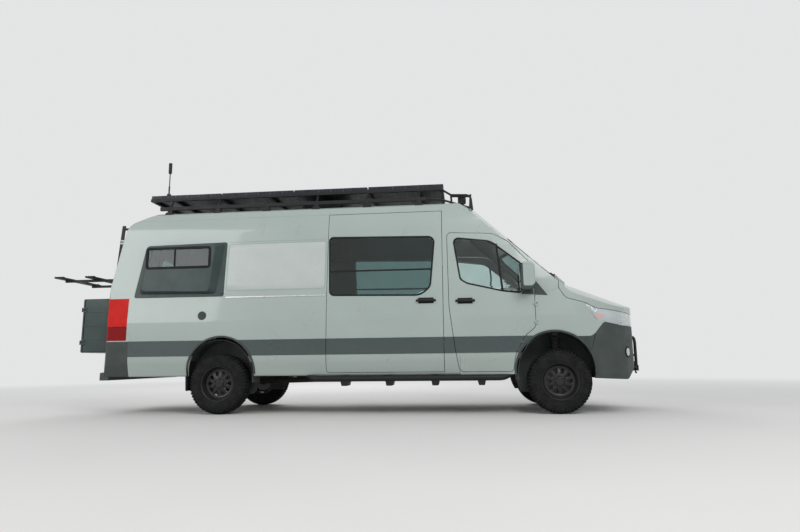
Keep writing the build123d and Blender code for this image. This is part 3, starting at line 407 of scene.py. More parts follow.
class Form:
    """Mesh put together from closed solids in the van's millimetres; it may start with some boxes."""

    def __init__(self, *boxes):
        self.points = []
        self.faces = []
        for box in boxes:
            self.box(*box)

    def add(self, points, faces):
        first = len(self.points)
        self.points += [Vector(p) for p in points]
        self.faces += [[first + i for i in face] for face in faces]
        return self

    def rings(self, rings, closed=False):
        """Skin over rings with the same number of points; closed joins the last to the first."""
        count, total = len(rings[0]), len(rings)
        faces = []
        for i in range(total if closed else total - 1):
            here, there = i * count, (i + 1) % total * count
            for j in range(count):
                k = (j + 1) % count
                faces.append((here + j, here + k, there + k, there + j))
        if not closed:
            faces.append(tuple(reversed(range(count))))
            faces.append(tuple((total - 1) * count + j for j in range(count)))
        return self.add([p for ring in rings for p in ring], faces)

    def box(self, x, y, z):
        ring = [(x[0], y[0]), (x[1], y[0]), (x[1], y[1]), (x[0], y[1])]
        return self.rings([[(u, v, w) for u, v in ring] for w in z])

    def prism(self, plane, outline, low, high):
        return self.rings([[placed(plane, u, v, w) for u, v in outline] for w in (low, high)])

    def rod(self, start, end, radius, sides=20, end_radius=None):
        start, end = Vector(start), Vector(end)
        across, up = square_to(end - start)
        tip = radius if end_radius is None else end_radius
        return self.rings([circle(start, across, up, radius, sides), circle(end, across, up, tip, sides)])

    def tube(self, path, radius, sides, closed=False):
        """Round bar along a line of points."""
        path = [Vector(p) for p in path]
        across = None
        rings = []
        for here, along in zip(path, directions(path, closed)):
            if across is None:
                across, _ = square_to(along)
            across = (across - along * across.dot(along)).normalized()
            rings.append(circle(here, across, along.cross(across), radius, sides))
        return self.rings(rings, closed)

    def lathe(self, profile, centre, steps, axis="y", side=1):
        """Profile of (along the axis, radius) turned about an axis through centre."""
        along = AXES[axis]
        centre = Vector(centre)
        rings = []
        for out in circle(Vector(), *square_to(along), 1, steps):
            rings.append([centre + along * side * w + out * r for w, r in profile])
        return self.rings(rings, True)

    def strip(self, path, normals, profile, closed):
        """Profile of (across, outwards) carried along a line on a surface with the normals given."""
        rings = []
        for here, along, normal in zip(path, directions(path, closed), normals):
            side = along.cross(normal).normalized()
            rings.append([here + side * u + normal * v for u, v in profile])
        return self.rings(rings, closed)

    def mirrored(self):
        """The same again on the other side of the van."""
        first = len(self.points)
        self.points += [Vector((p.x, -p.y, p.z)) for p in self.points]
        self.faces += [[first + i for i in reversed(face)] for face in self.faces]
        return self

    def turned(self, centre, axis, angle):
        spin = Matrix.Rotation(angle, 4, axis)
        centre = Vector(centre)
        self.points = [centre + spin @ (p - centre) for p in self.points]
        return self

    def join(self, other):
        return self.add(other.points, other.faces)

    def build(self, name, finish, body="van_body", bevel=0.0, segments=2, replaces=(), weld=True):
        """Blender object of the form, in the frame's metres, riding on its body."""
        mesh = bpy.data.meshes.new(name)
        mesh.from_pydata([to_row(p) for p in self.points], [], self.faces)
        work = bmesh.new()
        work.from_mesh(mesh)
        if weld:
            bmesh.ops.remove_doubles(work, verts=work.verts, dist=0.00001)
        bmesh.ops.recalc_face_normals(work, faces=work.faces)
        work.to_mesh(mesh)
        work.free()
        mesh.validate()
        made = joined(name, mesh)
        dress(made, finish, bevel, segments)
        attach(made, body)
        if replaces:
            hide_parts(*replaces)
        return made


SHARP = math.radians(32)


def dress(made, finish, bevel=0.0, segments=2):
    """Material, rounded edges and smooth shading for an object."""
    made.data.materials.clear()
    made.data.materials.append(FINISHES[finish].material)
    if bevel:
        rounding = made.modifiers.new("rounding", "BEVEL")
        rounding.width = bevel * MM
        rounding.segments = segments
        rounding.limit_method = "ANGLE"
        rounding.angle_limit = SHARP
        rounding.use_clamp_overlap = False
    for polygon in made.data.polygons:
        polygon.use_smooth = True
    shade = made.modifiers.new("shade", "WEIGHTED_NORMAL")
    shade.keep_sharp = False
    shade.weight = 60


# Skin of the body, for pieces that lie on it
SKIN_NODES = ["sliding_door", "cab_frame", "front_fenders", "front_bumper", "radiator_grille", "headlamps",
              "windshield", "side_glass", "tail_lamps", "rear_bumper", "bunk_flares", "roof_panel", "hood"]
SKIN_NODES += [f"{part}_{name}" for _, name in SIDES
               for part in ("side_wall", "front_door", "front_glass", "rear_door", "rear_glass")]


def tree_of(names):
    points, faces = [], []
    for name in names:
        first = len(points)
        points += [from_row(v.co) for v in nodes[name].data.vertices]
        faces += [[first + i for i in p.vertices] for p in nodes[name].data.polygons]
    return BVHTree.FromPolygons(points, faces)


SKIN = tree_of(SKIN_NODES)
# Offsets of more lines, since one line may slip through a seam, and how much nearer their hit has to be
BESIDE = ((0, 0), (4, 1), (-4, -1), (1, 4), (-1, -4))
NEARER = 12


def skin_hit(origin, direction):
    """Nearest skin seen along a line."""
    across, up = square_to(direction)
    best = None
    for u, v in BESIDE:
        place, normal, _, distance = SKIN.ray_cast(origin + across * u + up * v, direction)
        if place is not None and (best is None or distance < best[0] - NEARER):
            best = (distance, normal)
    if best is None:
        return None, None
    distance, normal = best
    if normal.dot(direction) > 0:
        normal = -normal
    return origin + direction * distance, normal


def on_side(x, z, side, out=0.0):
    """Point and normal where the van's side lies, square to its length."""
    place, normal = skin_hit(Vector((x, side * 2000, z)), Vector((0, -side, 0)))
    if place is None:
        place, normal = Vector((x, side * 1000, z)), Vector((0, side, 0))
    return place + normal * out, normal


def on_end(y, z, end, out=0.0):
    """Point and normal on the nose (end 1) or the rear face (end -1)."""
    place, normal = skin_hit(Vector((end * 9000, y, z)), Vector((-end, 0, 0)))
    return place + normal * out, normal


def on_top(x, y):
    """Point and normal on the roof, hood or windshield from above."""
    return skin_hit(Vector((x, y, 4000)), Vector((0, 0, -1)))


def ribbon(width, low, high):
    """Section (across, outwards) of a flat band."""
    return [(-width / 2, low), (width / 2, low), (width / 2, high), (-width / 2, high)]


def laid_band(laid, width, low, high, closed):
    """Band over a list of (point, normal)."""
    return Form().strip([p for p, _ in laid], [n for _, n in laid], ribbon(width, low, high), closed)


def band(lay, points, which, width, low, high, closed=None, gap=45):
    """Band on the skin along a line of points, closed where it has more than two of them."""
    if closed is None:
        closed = len(points) > 2
    path = divided([Vector(p) for p in points], gap, closed)
    return laid_band([lay(u, v, which) for u, v in path], width, low, high, closed)


def side_band(*settings, **more):
    """Band along (x, z) on the van's side."""
    return band(on_side, *settings, **more)


def end_band(*settings):
    """Band along (y, z) on the nose or the rear face."""
    return band(on_end, *settings)


def side_plate(outline, side):
    """Flat plate with (x, z) corners on the van's side."""
    corners = [on_side(x, z, side)[0] for x, z in outline]
    return Form().rings([[p + Vector((0, side * out, 0)) for p in corners] for out in (-4, 5)])


def grown(outline, amount):
    """Closed outline of (u, v, radius), larger all round by about amount."""
    middle_u = sum(p[0] for p in outline) / len(outline)
    middle_v = sum(p[1] for p in outline) / len(outline)
    return [(u + math.copysign(amount, u - middle_u), v + math.copysign(amount, v - middle_v), r + amount)
            for u, v, r in outline]


# CAD pieces keep their solids and take their finish; sharp edges are rounded
ROUNDING = {"body_paint": 2.5, "dark_trim": 4.0, "dark_paint": 4.0, "rack_metal": 2.0, "chassis_metal": 3.0,
            "solar": 2.0, "interior_plastic": 6.0, "cabinet_wood": 2.0, "bedding": 12.0, "seat_fabric": 8.0,
            "engine_metal": 6.0, "lamp_red": 2.0}
for row in frame["record"]["subparts"]:
    made = nodes[row["node"]]
    weld = made.modifiers.new("weld", "WELD")
    weld.merge_threshold = 0.0001
    dress(made, row["material_slot"], ROUNDING.get(row["material_slot"], 0.0))
for name in ("front_glass_right", "front_glass_left"):
    nodes[name].data.materials[0] = FINISHES["clear_cab"].material

# Wheels: tyres with moulded tread, and deep rims with ten windows
SIDEWALL = [(96, 204), (106, 222), (113, 232), (119, 250), (122, 282), (122, 306), (118, 332), (110, 352),
            (96, 366), (80, 373)]
TYRE_PROFILE = [(-w, r) for w, r in SIDEWALL] + [(0, 376.5)] + SIDEWALL[::-1]
TREAD_TOP = 387.2
PITCHES = 54
# How much lower the tread lies 88 mm from its middle
CROWN = 2.5
# Tread blocks as outlines of (share of a pitch, offset across), and their rings of (growth, radius)
BLOCKS = [
    [(0.06, 4), (0.58, 2), (0.66, 16), (0.50, 26), (0.12, 24), (0.00, 14)],
    [(0.56, -4), (1.06, -2), (1.14, -16), (0.98, -26), (0.62, -24), (0.50, -14)],
    [(0.20, 32), (0.78, 30), (0.86, 44), (0.74, 56), (0.24, 58), (0.12, 46)],
    [(0.70, -32), (1.28, -30), (1.36, -44), (1.24, -56), (0.74, -58), (0.62, -46)],
]
BLOCK_RINGS = ((1.12, 370), (1.0, TREAD_TOP - 1), (0.92, TREAD_TOP))
# Shoulder block, its middle, and its rings of (growth, radius where the shoulder starts)
SHOULDER = [(0.04, 64), (0.66, 62), (0.72, 84), (0.60, 100), (0.08, 100), (-0.02, 82)]
SHOULDER_MIDDLE = (0.34, 82)
SHOULDER_RINGS = ((1.1, TREAD_TOP - 16), (1.0, TREAD_TOP - 3), (0.93, TREAD_TOP - 2))
SHOULDER_FALL = 9 / 30


def swelled(outline, middle, grow):
    """Outline drawn larger or smaller about its middle."""
    return [(middle[0] + (u - middle[0]) * grow, middle[1] + (v - middle[1]) * grow) for u, v in outline]


def around(centre, turn, across, radius):
    """Point at a turn, an offset along the axle and a radius about a wheel's centre."""
    return Vector(centre) + Vector((math.cos(turn) * radius, across, math.sin(turn) * radius))


def tyre_form(centre):
    """Carcass with tread blocks, shoulder blocks, lugs and rings on the sidewalls."""
    made = Form().lathe(TYRE_PROFILE, centre, 96)

    def lay(share, across, radius):
        return around(centre, share * 2 * math.pi / PITCHES, across, radius)

    for i in range(PITCHES):
        for outline in BLOCKS:
            middle = [sum(values) / len(outline) for values in zip(*outline)]
            made.rings([[lay(i + u, v, radius - (v / 88) ** 2 * CROWN)
                         for u, v in swelled(outline, middle, grow)] for grow, radius in BLOCK_RINGS])
        long = 26 if i % 2 else 16
        lug = (((100, 370), (104, 376)), ((111.5, 356), (116, 358)),
               ((117, 340 - long / 2), (121, 340 - long / 2)), ((118, 340 - long), (119.5, 338 - long)))
        for side in (-1, 1):
            start = i if side > 0 else i + 0.5
            made.rings([[lay(start + u, side * v, radius - max(0, v - 70) * SHOULDER_FALL)
                         for u, v in swelled(SHOULDER, SHOULDER_MIDDLE, grow)]
                        for grow, radius in SHOULDER_RINGS])
            rings = []
            for inner, outer in lug:
                corners = zip((0.08, 0.08, 0.6, 0.6), (inner, outer, outer, inner))
                rings.append([lay(start + share, side * w, r) for share, (w, r) in corners])
            made.rings(rings)
    for side in (-1, 1):
        for radius, across in ((300, 122), (226, 114.4)):
            made.lathe([(across - 2, radius - 2), (across + 0.6, radius - 1.2), (across + 0.6, radius + 1.2),
                        (across - 2, radius + 2)], centre, 96, side=side)
    return made


# Rim sections of (offset outwards from the middle, radius)
RIM_PROFILE = [
    (-104, 220), (-96, 222), (-88, 203), (-60, 200), (60, 200), (88, 203), (98, 222), (108, 229), (112, 225),
    (112, 219), (106, 213), (94, 204), (60, 196), (40, 190), (-60, 188), (-88, 196), (-104, 208),
]
HUB_PROFILE = [
    (-70, 31), (-70, 62), (20, 62), (34, 88), (46, 88), (50, 80), (50, 58), (62, 54), (66, 48), (66, 1),
    (60, 1), (60, 31),
]
DISC_EDGE = [(14, 190), (38, 190), (40, 172), (34, 156), (24, 152), (10, 156)]
# Spoke sections of (radius, front, back, half its angle)
SPOKE = ((82, 48, 26, 0.31), (104, 47, 24, 0.30), (122, 42, 20, 0.2), (141, 37, 16, 0.175),
         (158, 34, 12, 0.24), (164, 33, 12, 0.31))
SPOKES = 10
# Bolts as (count, reach, face, rods); a rod is (start, end, radius, sides, radius at its end)
WHEEL_BOLTS = ((6, 70, 48, ((0, 12, 10.5, 6, 10.5), (10, 17, 7.5, 16, 5))),
               (24, 180, 34, ((0, 8, 4.2, 8, 3.4),)))


def rim_form(centre, side):
    """Barrel with a rolled lip and a dished disc that is open between its spokes."""
    made = Form()
    for profile, steps in ((RIM_PROFILE, 80), (HUB_PROFILE, 48), (DISC_EDGE, 80)):
        made.lathe(profile, centre, steps, side=side)
    for i in range(SPOKES):
        turn = (i + 0.5) * 2 * math.pi / SPOKES
        rings = []
        for r, front, back, half in SPOKE:
            ring = ((-half, back), (-half, front - 7), (-half * 0.6, front),
                    (half * 0.6, front), (half, front - 7), (half, back))
            rings.append([around(centre, turn + lean, side * w, r) for lean, w in ring])
        made.rings(rings)
    return made


def wheel_bolts(centre, side):
    made = Form()
    for count, reach, face, rods in WHEEL_BOLTS:
        for i in range(count):
            turn = 2 * math.pi * (i + 0.5) / count
            for start, end, radius, sides, tip in rods:
                made.rod(around(centre, turn, side * (face + start), reach),
                         around(centre, turn, side * (face + end), reach), radius, sides, tip)
    return made


for x, end in ((0, "front"), (-WHEELBASE, "rear")):
    for side, name in SIDES:
        centre = (x, side * TRACK / 2, HUB_Z)
        body = f"wheel_{end}_{name}"
        tyre_form(centre).build(f"tread_tyre_{end}_{name}", "tyre", body, replaces=(f"tyre_{end}_{name}",),
                                weld=False)
        rim_form(centre, side).build(f"deep_rim_{end}_{name}", "wheel_black", body, bevel=1.5,
                                     replaces=(f"rim_{end}_{name}",))
        wheel_bolts(centre, side).build(f"wheel_bolts_{end}_{name}", "wheel_black", body, bevel=0.8)
        disc = Form().lathe([(-66, 75), (-66, 160), (-42, 160), (-42, 75)], centre, 48, side=side)
        disc.build(f"brake_disc_{end}_{name}", "engine_metal", body, bevel=1)

# Outlines of the van's openings (x or y, z, corner radius) and its wheel arches (x, z, radius)
FRONT_WINDOW = [(-1250, 2211, 50), (-775, 2150, 200), (-400, 1830, 60), (-330, 1700, 30), (-440, 1487, 30),
                (-654, 1513, 600), (-1090, 1622, 200), (-1168, 1675, 60)]
SIDE_WINDOW = [(-2868, 2264, 40), (-1504, 2234, 70), (-1566, 1589, 110), (-1693, 1484, 200),
               (-2845, 1507, 50)]
WINDSHIELD = [(-855, 1698, 90), (-765, 2225, 110), (765, 2225, 110), (855, 1698, 90), (0, 1692, 2000)]
REAR_WINDOW = [(110, 1560, 60), (690, 1560, 60), (660, 2240, 60), (110, 2240, 60)]
ARCHES = ((-50, 520, 470), (-4290, 540, 440))
FLARE_OUT = 1060

# Seals and dividers of the windows
for side, name in SIDES:
    door = f"front_door_{name}_body"
    seal = side_band(rounded(grown(FRONT_WINDOW, 7)), side, 20, -6, 3)
    seal.build(f"front_seal_{name}", "rubber", door, bevel=1.2)
    bar = side_band([(-711, 2118), (-653, 1523)], side, 26, -3, 6)
    bar.build(f"quarter_bar_{name}", "rubber", door, bevel=1.2)
    seal = side_band(rounded(grown(SIDE_WINDOW, 8)), side, 22, -6, 3)
    seal.join(side_band([(-2856, 1812), (-1532, 1812)], side, 20, -3, 6))
    seal.build(f"side_seal_{name}", "rubber", bevel=1.2)
    outline = rectangle((-5332, -4458), (1907, 2170), 30)
    laid = [(Vector((x, side * FLARE_OUT, z)), Vector((0, side, 0))) for x, z in outline]
    seal = laid_band(laid, 34, -10, 3, True)
    seal.box((-4957, -4935), pair(side, FLARE_OUT - 12, FLARE_OUT + 2), (1912, 2165))
    seal.build(f"flare_frame_{name}", "rubber", bevel=1.5)
    window = [(side * y, z, r) for y, z, r in REAR_WINDOW]
    seal = end_band(rounded(grown(window, 8)), -1, 22, -6, 3)
    seal.build(f"rear_seal_{name}", "rubber", f"rear_door_{name}_body", bevel=1.2)
end_band(rounded(WINDSHIELD, 10), 1, 30, -6, 4).build("windshield_seal", "rubber", bevel=1.2)

# Black corner behind each mirror, and the mirrors' painted caps and glass
MIRROR_PANES = (((1610, 1822), (18, 18, 25, 25), (1604, 1828)), ((1518, 1594), (14,), (1512, 1600)))
for side, name in SIDES:
    door = f"front_door_{name}_body"
    corner = side_plate([(-312, 1712), (-272, 1655), (-272, 1452), (-424, 1462)], side)
    corner.build(f"sail_corner_{name}", "dark_trim", door, bevel=1.5)
    corner = side_plate([(-258, 1650), (-104, 1440), (-258, 1450)], side)
    corner.build(f"sail_tip_{name}", "dark_trim", bevel=1.5)
    outline = rounded([(-412, 1538, 25), (-264, 1538, 60), (-266, 1842, 60), (-412, 1842, 30)])
    cap = Form().prism("xz", outline, *pair(side, 1055, 1175))
    cap.build(f"mirror_cap_{name}", "cap_paint", door, bevel=14, segments=4)
    low, high = pair(side, 1070, 1160)
    pane = Form()
    rim = Form()
    for heights, radii, rim_heights in MIRROR_PANES:
        pane.prism("yz", rectangle((low, high), heights, *radii), -446, -441)
        outline = rectangle((low - 6, high + 6), rim_heights, 18, 18, 22, 22)
        rim.tube([(-443, y, z) for y, z in outline], 5, 8, True)
    pane.build(f"mirror_glass_{name}", "bright", door, bevel=1.0)
    rim.build(f"mirror_rim_{name}", "dark_trim", door)


# Door handles: a bar over a dark cup
def handle_form(start, end, z, side):
    path = []
    for share in (0, 0.05, 0.14, 0.3, 0.5, 0.7, 0.86, 0.95, 1):
        lift = 34 * min(1, math.sin(math.pi * share) * 2.4) ** 0.6 if 0 < share < 1 else -4
        path.append(on_side(start + (end - start) * share, z, side, lift)[0])
    rings = []
    for here, along in zip(path, directions(path)):
        out = Vector((0, side, 0))
        out = (out - along * out.dot(along)).normalized()
        rings.append(circle(here, along.cross(out) * 15, out * 8, 1, 12))
    return Form().rings(rings)


HANDLES = [(side, f"front_door_{name}_body", "front_{}_" + name, (-1241, -1003), (-1215, -1030), 1391)
           for side, name in SIDES]
HANDLES.append((-1, "van_body", "sliding_{}", (-1737, -1492), (-1712, -1517), 1405))
for side, body, name, bar, cup, z in HANDLES:
    handle_form(*bar, z, side).build(name.format("handle"), "rack_metal", body)
    made = side_band([(x, z) for x in cup], side, 74, -3, 1.5)
    made.build(name.format("cup"), "rubber", body, bevel=1)

# Lips of the wheel arches, mud flaps, and lines and blank panels along the sides
for side, name in SIDES:
    lips = Form()
    for x, z, radius in ARCHES:
        lips.join(side_band(arc(x, z, radius + 11, -4, 184, 40), side, 24, -4, 9, closed=False, gap=60))
    lips.build(f"arch_lips_{name}", "dark_trim", bevel=3)
    flaps = Form(((-4741, -4731), pair(side, 742, 985), (300, 762)),
                 ((-4744, -4728), pair(side, 742, 985), (735, 762)))
    flaps.build(f"mud_flap_{name}", "rubber", bevel=2)
    crease = side_band([(-4262, 2257), (-2902, 2257)], side, 7, -2, 3)
    crease.build(f"side_crease_{name}", "cap_paint", bevel=1)
    edge = side_band(rectangle((-4250, -2922), (2228, 1592), 40), side, 9, -2, 2.5)
    edge.build(f"blank_edge_{name}", "cap_paint", bevel=1)
    steps = [-4242 + 164 * i for i in range(9)]
    rings = []
    for z in [1600 + 77.5 * k for k in range(9)]:
        outer = [on_side(x, z, side, 1.4)[0] for x in steps]
        rings.append(outer + [on_side(x, z, side, -3)[0] for x in reversed(steps)])
    Form().rings(rings).build(f"blank_panel_{name}", "pale_paint")
side_band([(-4252, 1509), (-2906, 1509)], -1, 30, -2, 7).build("sliding_rail", "steel", bevel=2)
place, normal = on_side(-4556, 1267, -1)
cap = Form().rod(place - normal * 3, place + normal * 5, 57, 40).rod(place, place + normal * 9, 47, 40, 44)
cap.rod(place + normal * 8, place + normal * 15, 12, 16)
cap.build("filler_cap", "dark_trim", bevel=2)

# Cowl and wipers
laid = [on_top(math.sqrt(2560 ** 2 - y ** 2) - 2400, y) for y in range(-840, 841, 70)]
laid_band(laid, 84, -3, 4, False).build("cowl_cover", "dark_trim", bevel=2)
wipers = Form()
blades = Form()
for start, stop in ((-60, 640), (-790, -150)):
    steps = [start + (stop - start) * k / 12 for k in range(13)]
    for form, across, out, radius, sides in ((blades, steps, 13, 5, 8), (wipers, steps[1:-1], 20, 4, 6)):
        form.tube([on_end(y, 1738 + (y - start) * 0.02, 1, out)[0] for y in across], radius, sides)
    middle = (start + stop) / 2
    bends = ((-260, 1712, 12), (-150, 1722, 34), (0, 1745, 26))
    reach = [on_end(middle + y, z, 1, out)[0] for y, z, out in bends]
    wipers.tube(reach, 9, 8)
    wipers.rod(reach[0] - Vector((6, 0, 14)), reach[0] + Vector((6, 0, 14)), 20, 20)
wipers.build("wiper_arms", "dark_trim")
blades.build("wiper_blades", "rubber")

# Headlamps with bowls and a pale housing behind the clear lens, side markers and fog lamps
for side, name in SIDES:
    housing = Form()
    bowls = Form()
    for y, z, radius in ((620, 1150, 62), (760, 1158, 52)):
        depth = on_end(side * y, z, 1)[0].x - 62
        centre = (0, side * y, z)
        bowls.lathe([(depth - 70, 8), (depth - 50, radius * 0.6), (depth, radius), (depth + 4, radius + 3),
                     (depth - 56, radius * 0.6), (depth - 78, 8)], centre, 40, "x")
        housing.lathe([(depth - 6, radius + 1), (depth + 8, radius + 1), (depth + 8, radius + 9),
                       (depth - 6, radius + 9)], centre, 40, "x")
        bowls.rod((depth - 60, side * y, z), (depth - 24, side * y, z), 15, 20, 12)
    rings = []
    for y in [side * (500 + 27 * k) for k in range(11)]:
        x = on_end(y, 1150, 1)[0].x - 96
        rings.append([(x, y, 1062), (x, y, 1186), (x - 8, y, 1186), (x - 8, y, 1062)])
    housing.rings(rings).build(f"lamp_housing_{name}", "linen", bevel=1.5)
    bowls.build(f"lamp_bowl_{name}", "bright")
    marker = side_band([(458, 1190), (545, 1160)], side, 40, -3, 2)
    marker.build(f"side_marker_{name}", "amber", bevel=1)
    place, normal = on_end(side * 775, 735, 1)
    ring = Form().rod(place - normal * 30, place + normal * 5, 78, 40, 70)
    ring.build(f"fog_ring_{name}", "rubber", bevel=3)
    Form().rod(place, place + normal * 9, 54, 40, 46).build(f"fog_lens_{name}", "lamp_clear", bevel=3)

# Plates that close the corner between each fender, the bumper and the wheel arch
for side, name in SIDES:
    corner = arc(-50, 520, 474, 53.3, 26.7, 8) + [(378, 722), (378, 904), (233, 904)]
    rings = [[(x, side * (1002 - (x - 243) * 0.14 - drop), z) for x, z in corner] for drop in (0, 16)]
    Form().rings(rings).build(f"fender_corner_{name}", "dark_paint", bevel=1.5)

# Grille: upright slats behind the slots, and tow shackles on the bar's eyes
places = [on_end(y, 1180, 1)[0] for y in range(-432, 433, 36)]
slats = Form(*[((p.x - 66, p.x - 38), (p.y - 3, p.y + 3), (984, 1192)) for p in places])
slats.build("grille_slats", "dark_trim")
shackles = Form()
for side, _ in SIDES:
    centre = Vector((1058, side * 370, 535))
    bow = [centre + Vector((-4, math.sin(t) * 27, -34 - math.cos(t) * 30)) for t in turns(-60, 240, 16)]
    shackles.tube(bow, 8, 10)
    shackles.rod(centre - Vector((0, 32, 0)), centre + Vector((0, 32, 0)), 11, 16)
shackles.build("tow_shackles", "rack_metal", bevel=1)

# Tail: lamp bands, high brake lamp, step tread and the sill behind the rear doors
for side, name in SIDES:
    laid = [on_side(x, 1138, side) for x in (-5872, -5830, -5780, -5720, -5660, -5602)]
    laid_band(laid, 5, -2, 2.5, False).build(f"lamp_bands_{name}", "rubber")
brake = end_band([(-170, 2640), (170, 2640)], -1, 34, -3, 12)
brake.build("high_brake_lamp", "lamp_red", bevel=4)
end_band([(-190, 2640), (190, 2640)], -1, 50, -4, 5).build("brake_lamp_base", "dark_trim", bevel=2)
tread = Form(*[((-5948, -5905), (y - 12, y + 12), (539, 544)) for y in range(-920, 921, 40)])
tread.build("step_tread", "rubber", bevel=1)
Form(((-5853, -5847), (-798, 798), (600, 663))).build("sill_riser", "dark_trim", bevel=1)

# Insides of the doors: seals at the rear doors' middle, cards, grips and armrests
for side, name in SIDES:
    hung = f"rear_door_{name}_body"
    rings = []
    for z in [632 + 50 * k for k in range(40)]:
        face, _ = on_end(side * 20, z, -1)
        rings.append([(face.x + d, side * w, z) for d, w in ((8, 2.2), (8, 12.5), (30, 12.5), (30, 2.2))])
    Form().rings(rings).build(f"door_lip_{name}", "rubber", hung)
    card = Form().prism("yz", rectangle((side * 110, side * 690), (700, 1440), 40), -5857, -5851)
    card.build(f"door_card_{name}", "linen", hung, bevel=3)
    grip = Form(((-5853, -5833), pair(side, 130, 158), (1040, 1240)))
    grip.build(f"door_grip_{name}", "interior_plastic", hung, bevel=6)
    rest = side_band([(-1150, 1180), (-440, 1180)], side, 90, -104, -42)
    rest.build(f"door_armrest_{name}", "interior_plastic", f"front_door_{name}_body", bevel=12, segments=3)

# Step wells that close the floor's edge below the front doors
wells = Form(((-1222, -512), (898, 908), (524, 742)), ((-1222, -512), (898, 930), (520, 530)),
             *[((x, x + 14), (902, 926), (530, 534)) for x in range(-1190, -613, 72)])
wells.mirrored().build("step_wells", "interior_plastic", bevel=2)

# Load carrier: bolts on the plates, straps on the trays, latches and ribs on the box
bolts = Form()
straps = Form()
for y in (-745, -150):
    for z in (860, 980, 1160, 1340, 1500):
        for side in (-1, 1):
            bolts.rod((-5920, y + side * 5, z), (-5920, y + side * 12, z), 9, 6)
for x in (-6240, -6690):
    for y in (-745, -150):
        bolts.rod((x, y, 1834), (x, y, 1843), 9, 6)
    for y in (-870, -90):
        straps.box((x - 54, x + 54), (y - 12, y + 12), (1850, 1856))
bolts.build("carrier_bolts", "steel", "rear_door_right_body", bevel=1)
straps.build("tray_straps", "rubber", "rear_door_right_body", bevel=1)
ribs = Form(*[((-6395, -5990), (y, y + 5), (z - 9, z + 9)) for z in (990, 1180, 1370) for y in (-753, -107)])
ribs.build("box_ribs", "dark_paint", "rear_door_right_body", bevel=2)
latches = Form()
for z in (1000, 1365):
    latches.box((-6412, -6398), (-160, -124), (z - 40, z + 40))
    latches.box((-6420, -6408), (-152, -132), (z - 26, z + 14))
latches.build("box_latches", "steel", "box_lid_body", bevel=3)
panel = Form().prism("yz", rectangle((-690, -200), (870, 1495), 30), -6404, -6399)
panel.build("lid_panel", "dark_paint", "box_lid_body", bevel=2)

# Roof: feet, panel frames and clamps, floodlights, vent lid and antenna fittings
feet = Form()
for x in (-5200, -4500, -3800, -3100, -2400, -1700):
    z = on_top(x, 750)[0].z
    corners = ((-62, -30), (62, -30), (44, 14), (-44, 14))
    outline = rounded([(x + u, z + v, 10) for u, v in corners])
    feet.prism("xz", outline, 700, 800)
    for bolt in (x - 48, x + 48):
        feet.rod((bolt, 740, z), (bolt, 740, z + 16), 8, 6)
feet.mirrored().build("rack_feet", "rack_metal", bevel=3)
PANEL_REAR = -5535
PANEL_FRONT = -1373
PANEL_GAP = 20
PANEL_HALF = 680
PANELS = 4
FRAME_WIDTH = 14
PANEL_STEP = (PANEL_FRONT - PANEL_REAR + PANEL_GAP) / PANELS
frames = Form()
clamps = Form()
for k in range(PANELS):
    start = PANEL_REAR + k * PANEL_STEP
    end = start + PANEL_STEP - PANEL_GAP
    for x in (start, end - FRAME_WIDTH):
        frames.box((x, x + FRAME_WIDTH), (-PANEL_HALF, PANEL_HALF), (3013, 3019))
    for y in (-PANEL_HALF, PANEL_HALF - FRAME_WIDTH):
        frames.box((start, end), (y, y + FRAME_WIDTH), (3013, 3019))
    for x in (start + 180, end - 180):
        for y in (-686, 678):
            clamps.box((x - 22, x + 22), (y, y + 8), (2965, 3017))
frames.build("panel_frames", "engine_metal", bevel=1.5)
clamps.build("panel_clamps", "rack_metal", bevel=1.5)
lights = Form()
lenses = Form()
# Body, tail and cooling fins as (rear, front, radius, sides, radius at the front)
LIGHT_RODS = [(-1120, -1074, 50, 32, 50), (-1165, -1120, 34, 32, 46)]
LIGHT_RODS += [(-1160 + 8 * k, -1157 + 8 * k, 44, 24, 44) for k in range(5)]
for y in (-600, 600):
    for rear, front, radius, sides, tip in LIGHT_RODS:
        lights.rod((rear, y, 2800), (front, y, 2800), radius, sides, tip)
    lenses.rod((-1080, y, 2800), (-1070, y, 2800), 44, 32, 40)
lights.build("floodlights", "rack_metal", bevel=2)
lenses.build("floodlight_lenses", "lamp_clear", bevel=2)
lid = Form()
for low, high, reach in ((2898, 2908, 334), (2908, 2914, 300)):
    lid.prism("xy", rectangle((-3090 - reach, -3180 + reach), (-reach, reach), 40), low, high)
lid.build("vent_lid", "dark_trim", bevel=4)
ANTENNA = (-5310, -620)
spring = Form().tube(coil((*ANTENNA, 3055), 12, 2.0, 0.5, 120), 2.2, 6)
spring.rod((*ANTENNA, 3360), (*ANTENNA, 3376), 14, 20).rod((*ANTENNA, 3016), (*ANTENNA, 3026), 44, 32)
spring.build("antenna_fittings", "rack_metal")
lead = [(*ANTENNA, 3024), (-5290, -560, 3026), (-5200, -480, 3024), (-5060, -430, 3023), (-4900, -400, 3022)]
Form().tube(lead, 4, 8).build("antenna_lead", "rubber")

# Steps: ribbed grips over each foot
grips = Form(*[((x + k - 4, x + k + 4), (955, 1018), (474, 479.5)) for x in (-2653, -2086, -1514, -945)
               for k in range(-56, 57, 14)])
grips.mirrored().build("step_grips", "rubber", bevel=0.8)

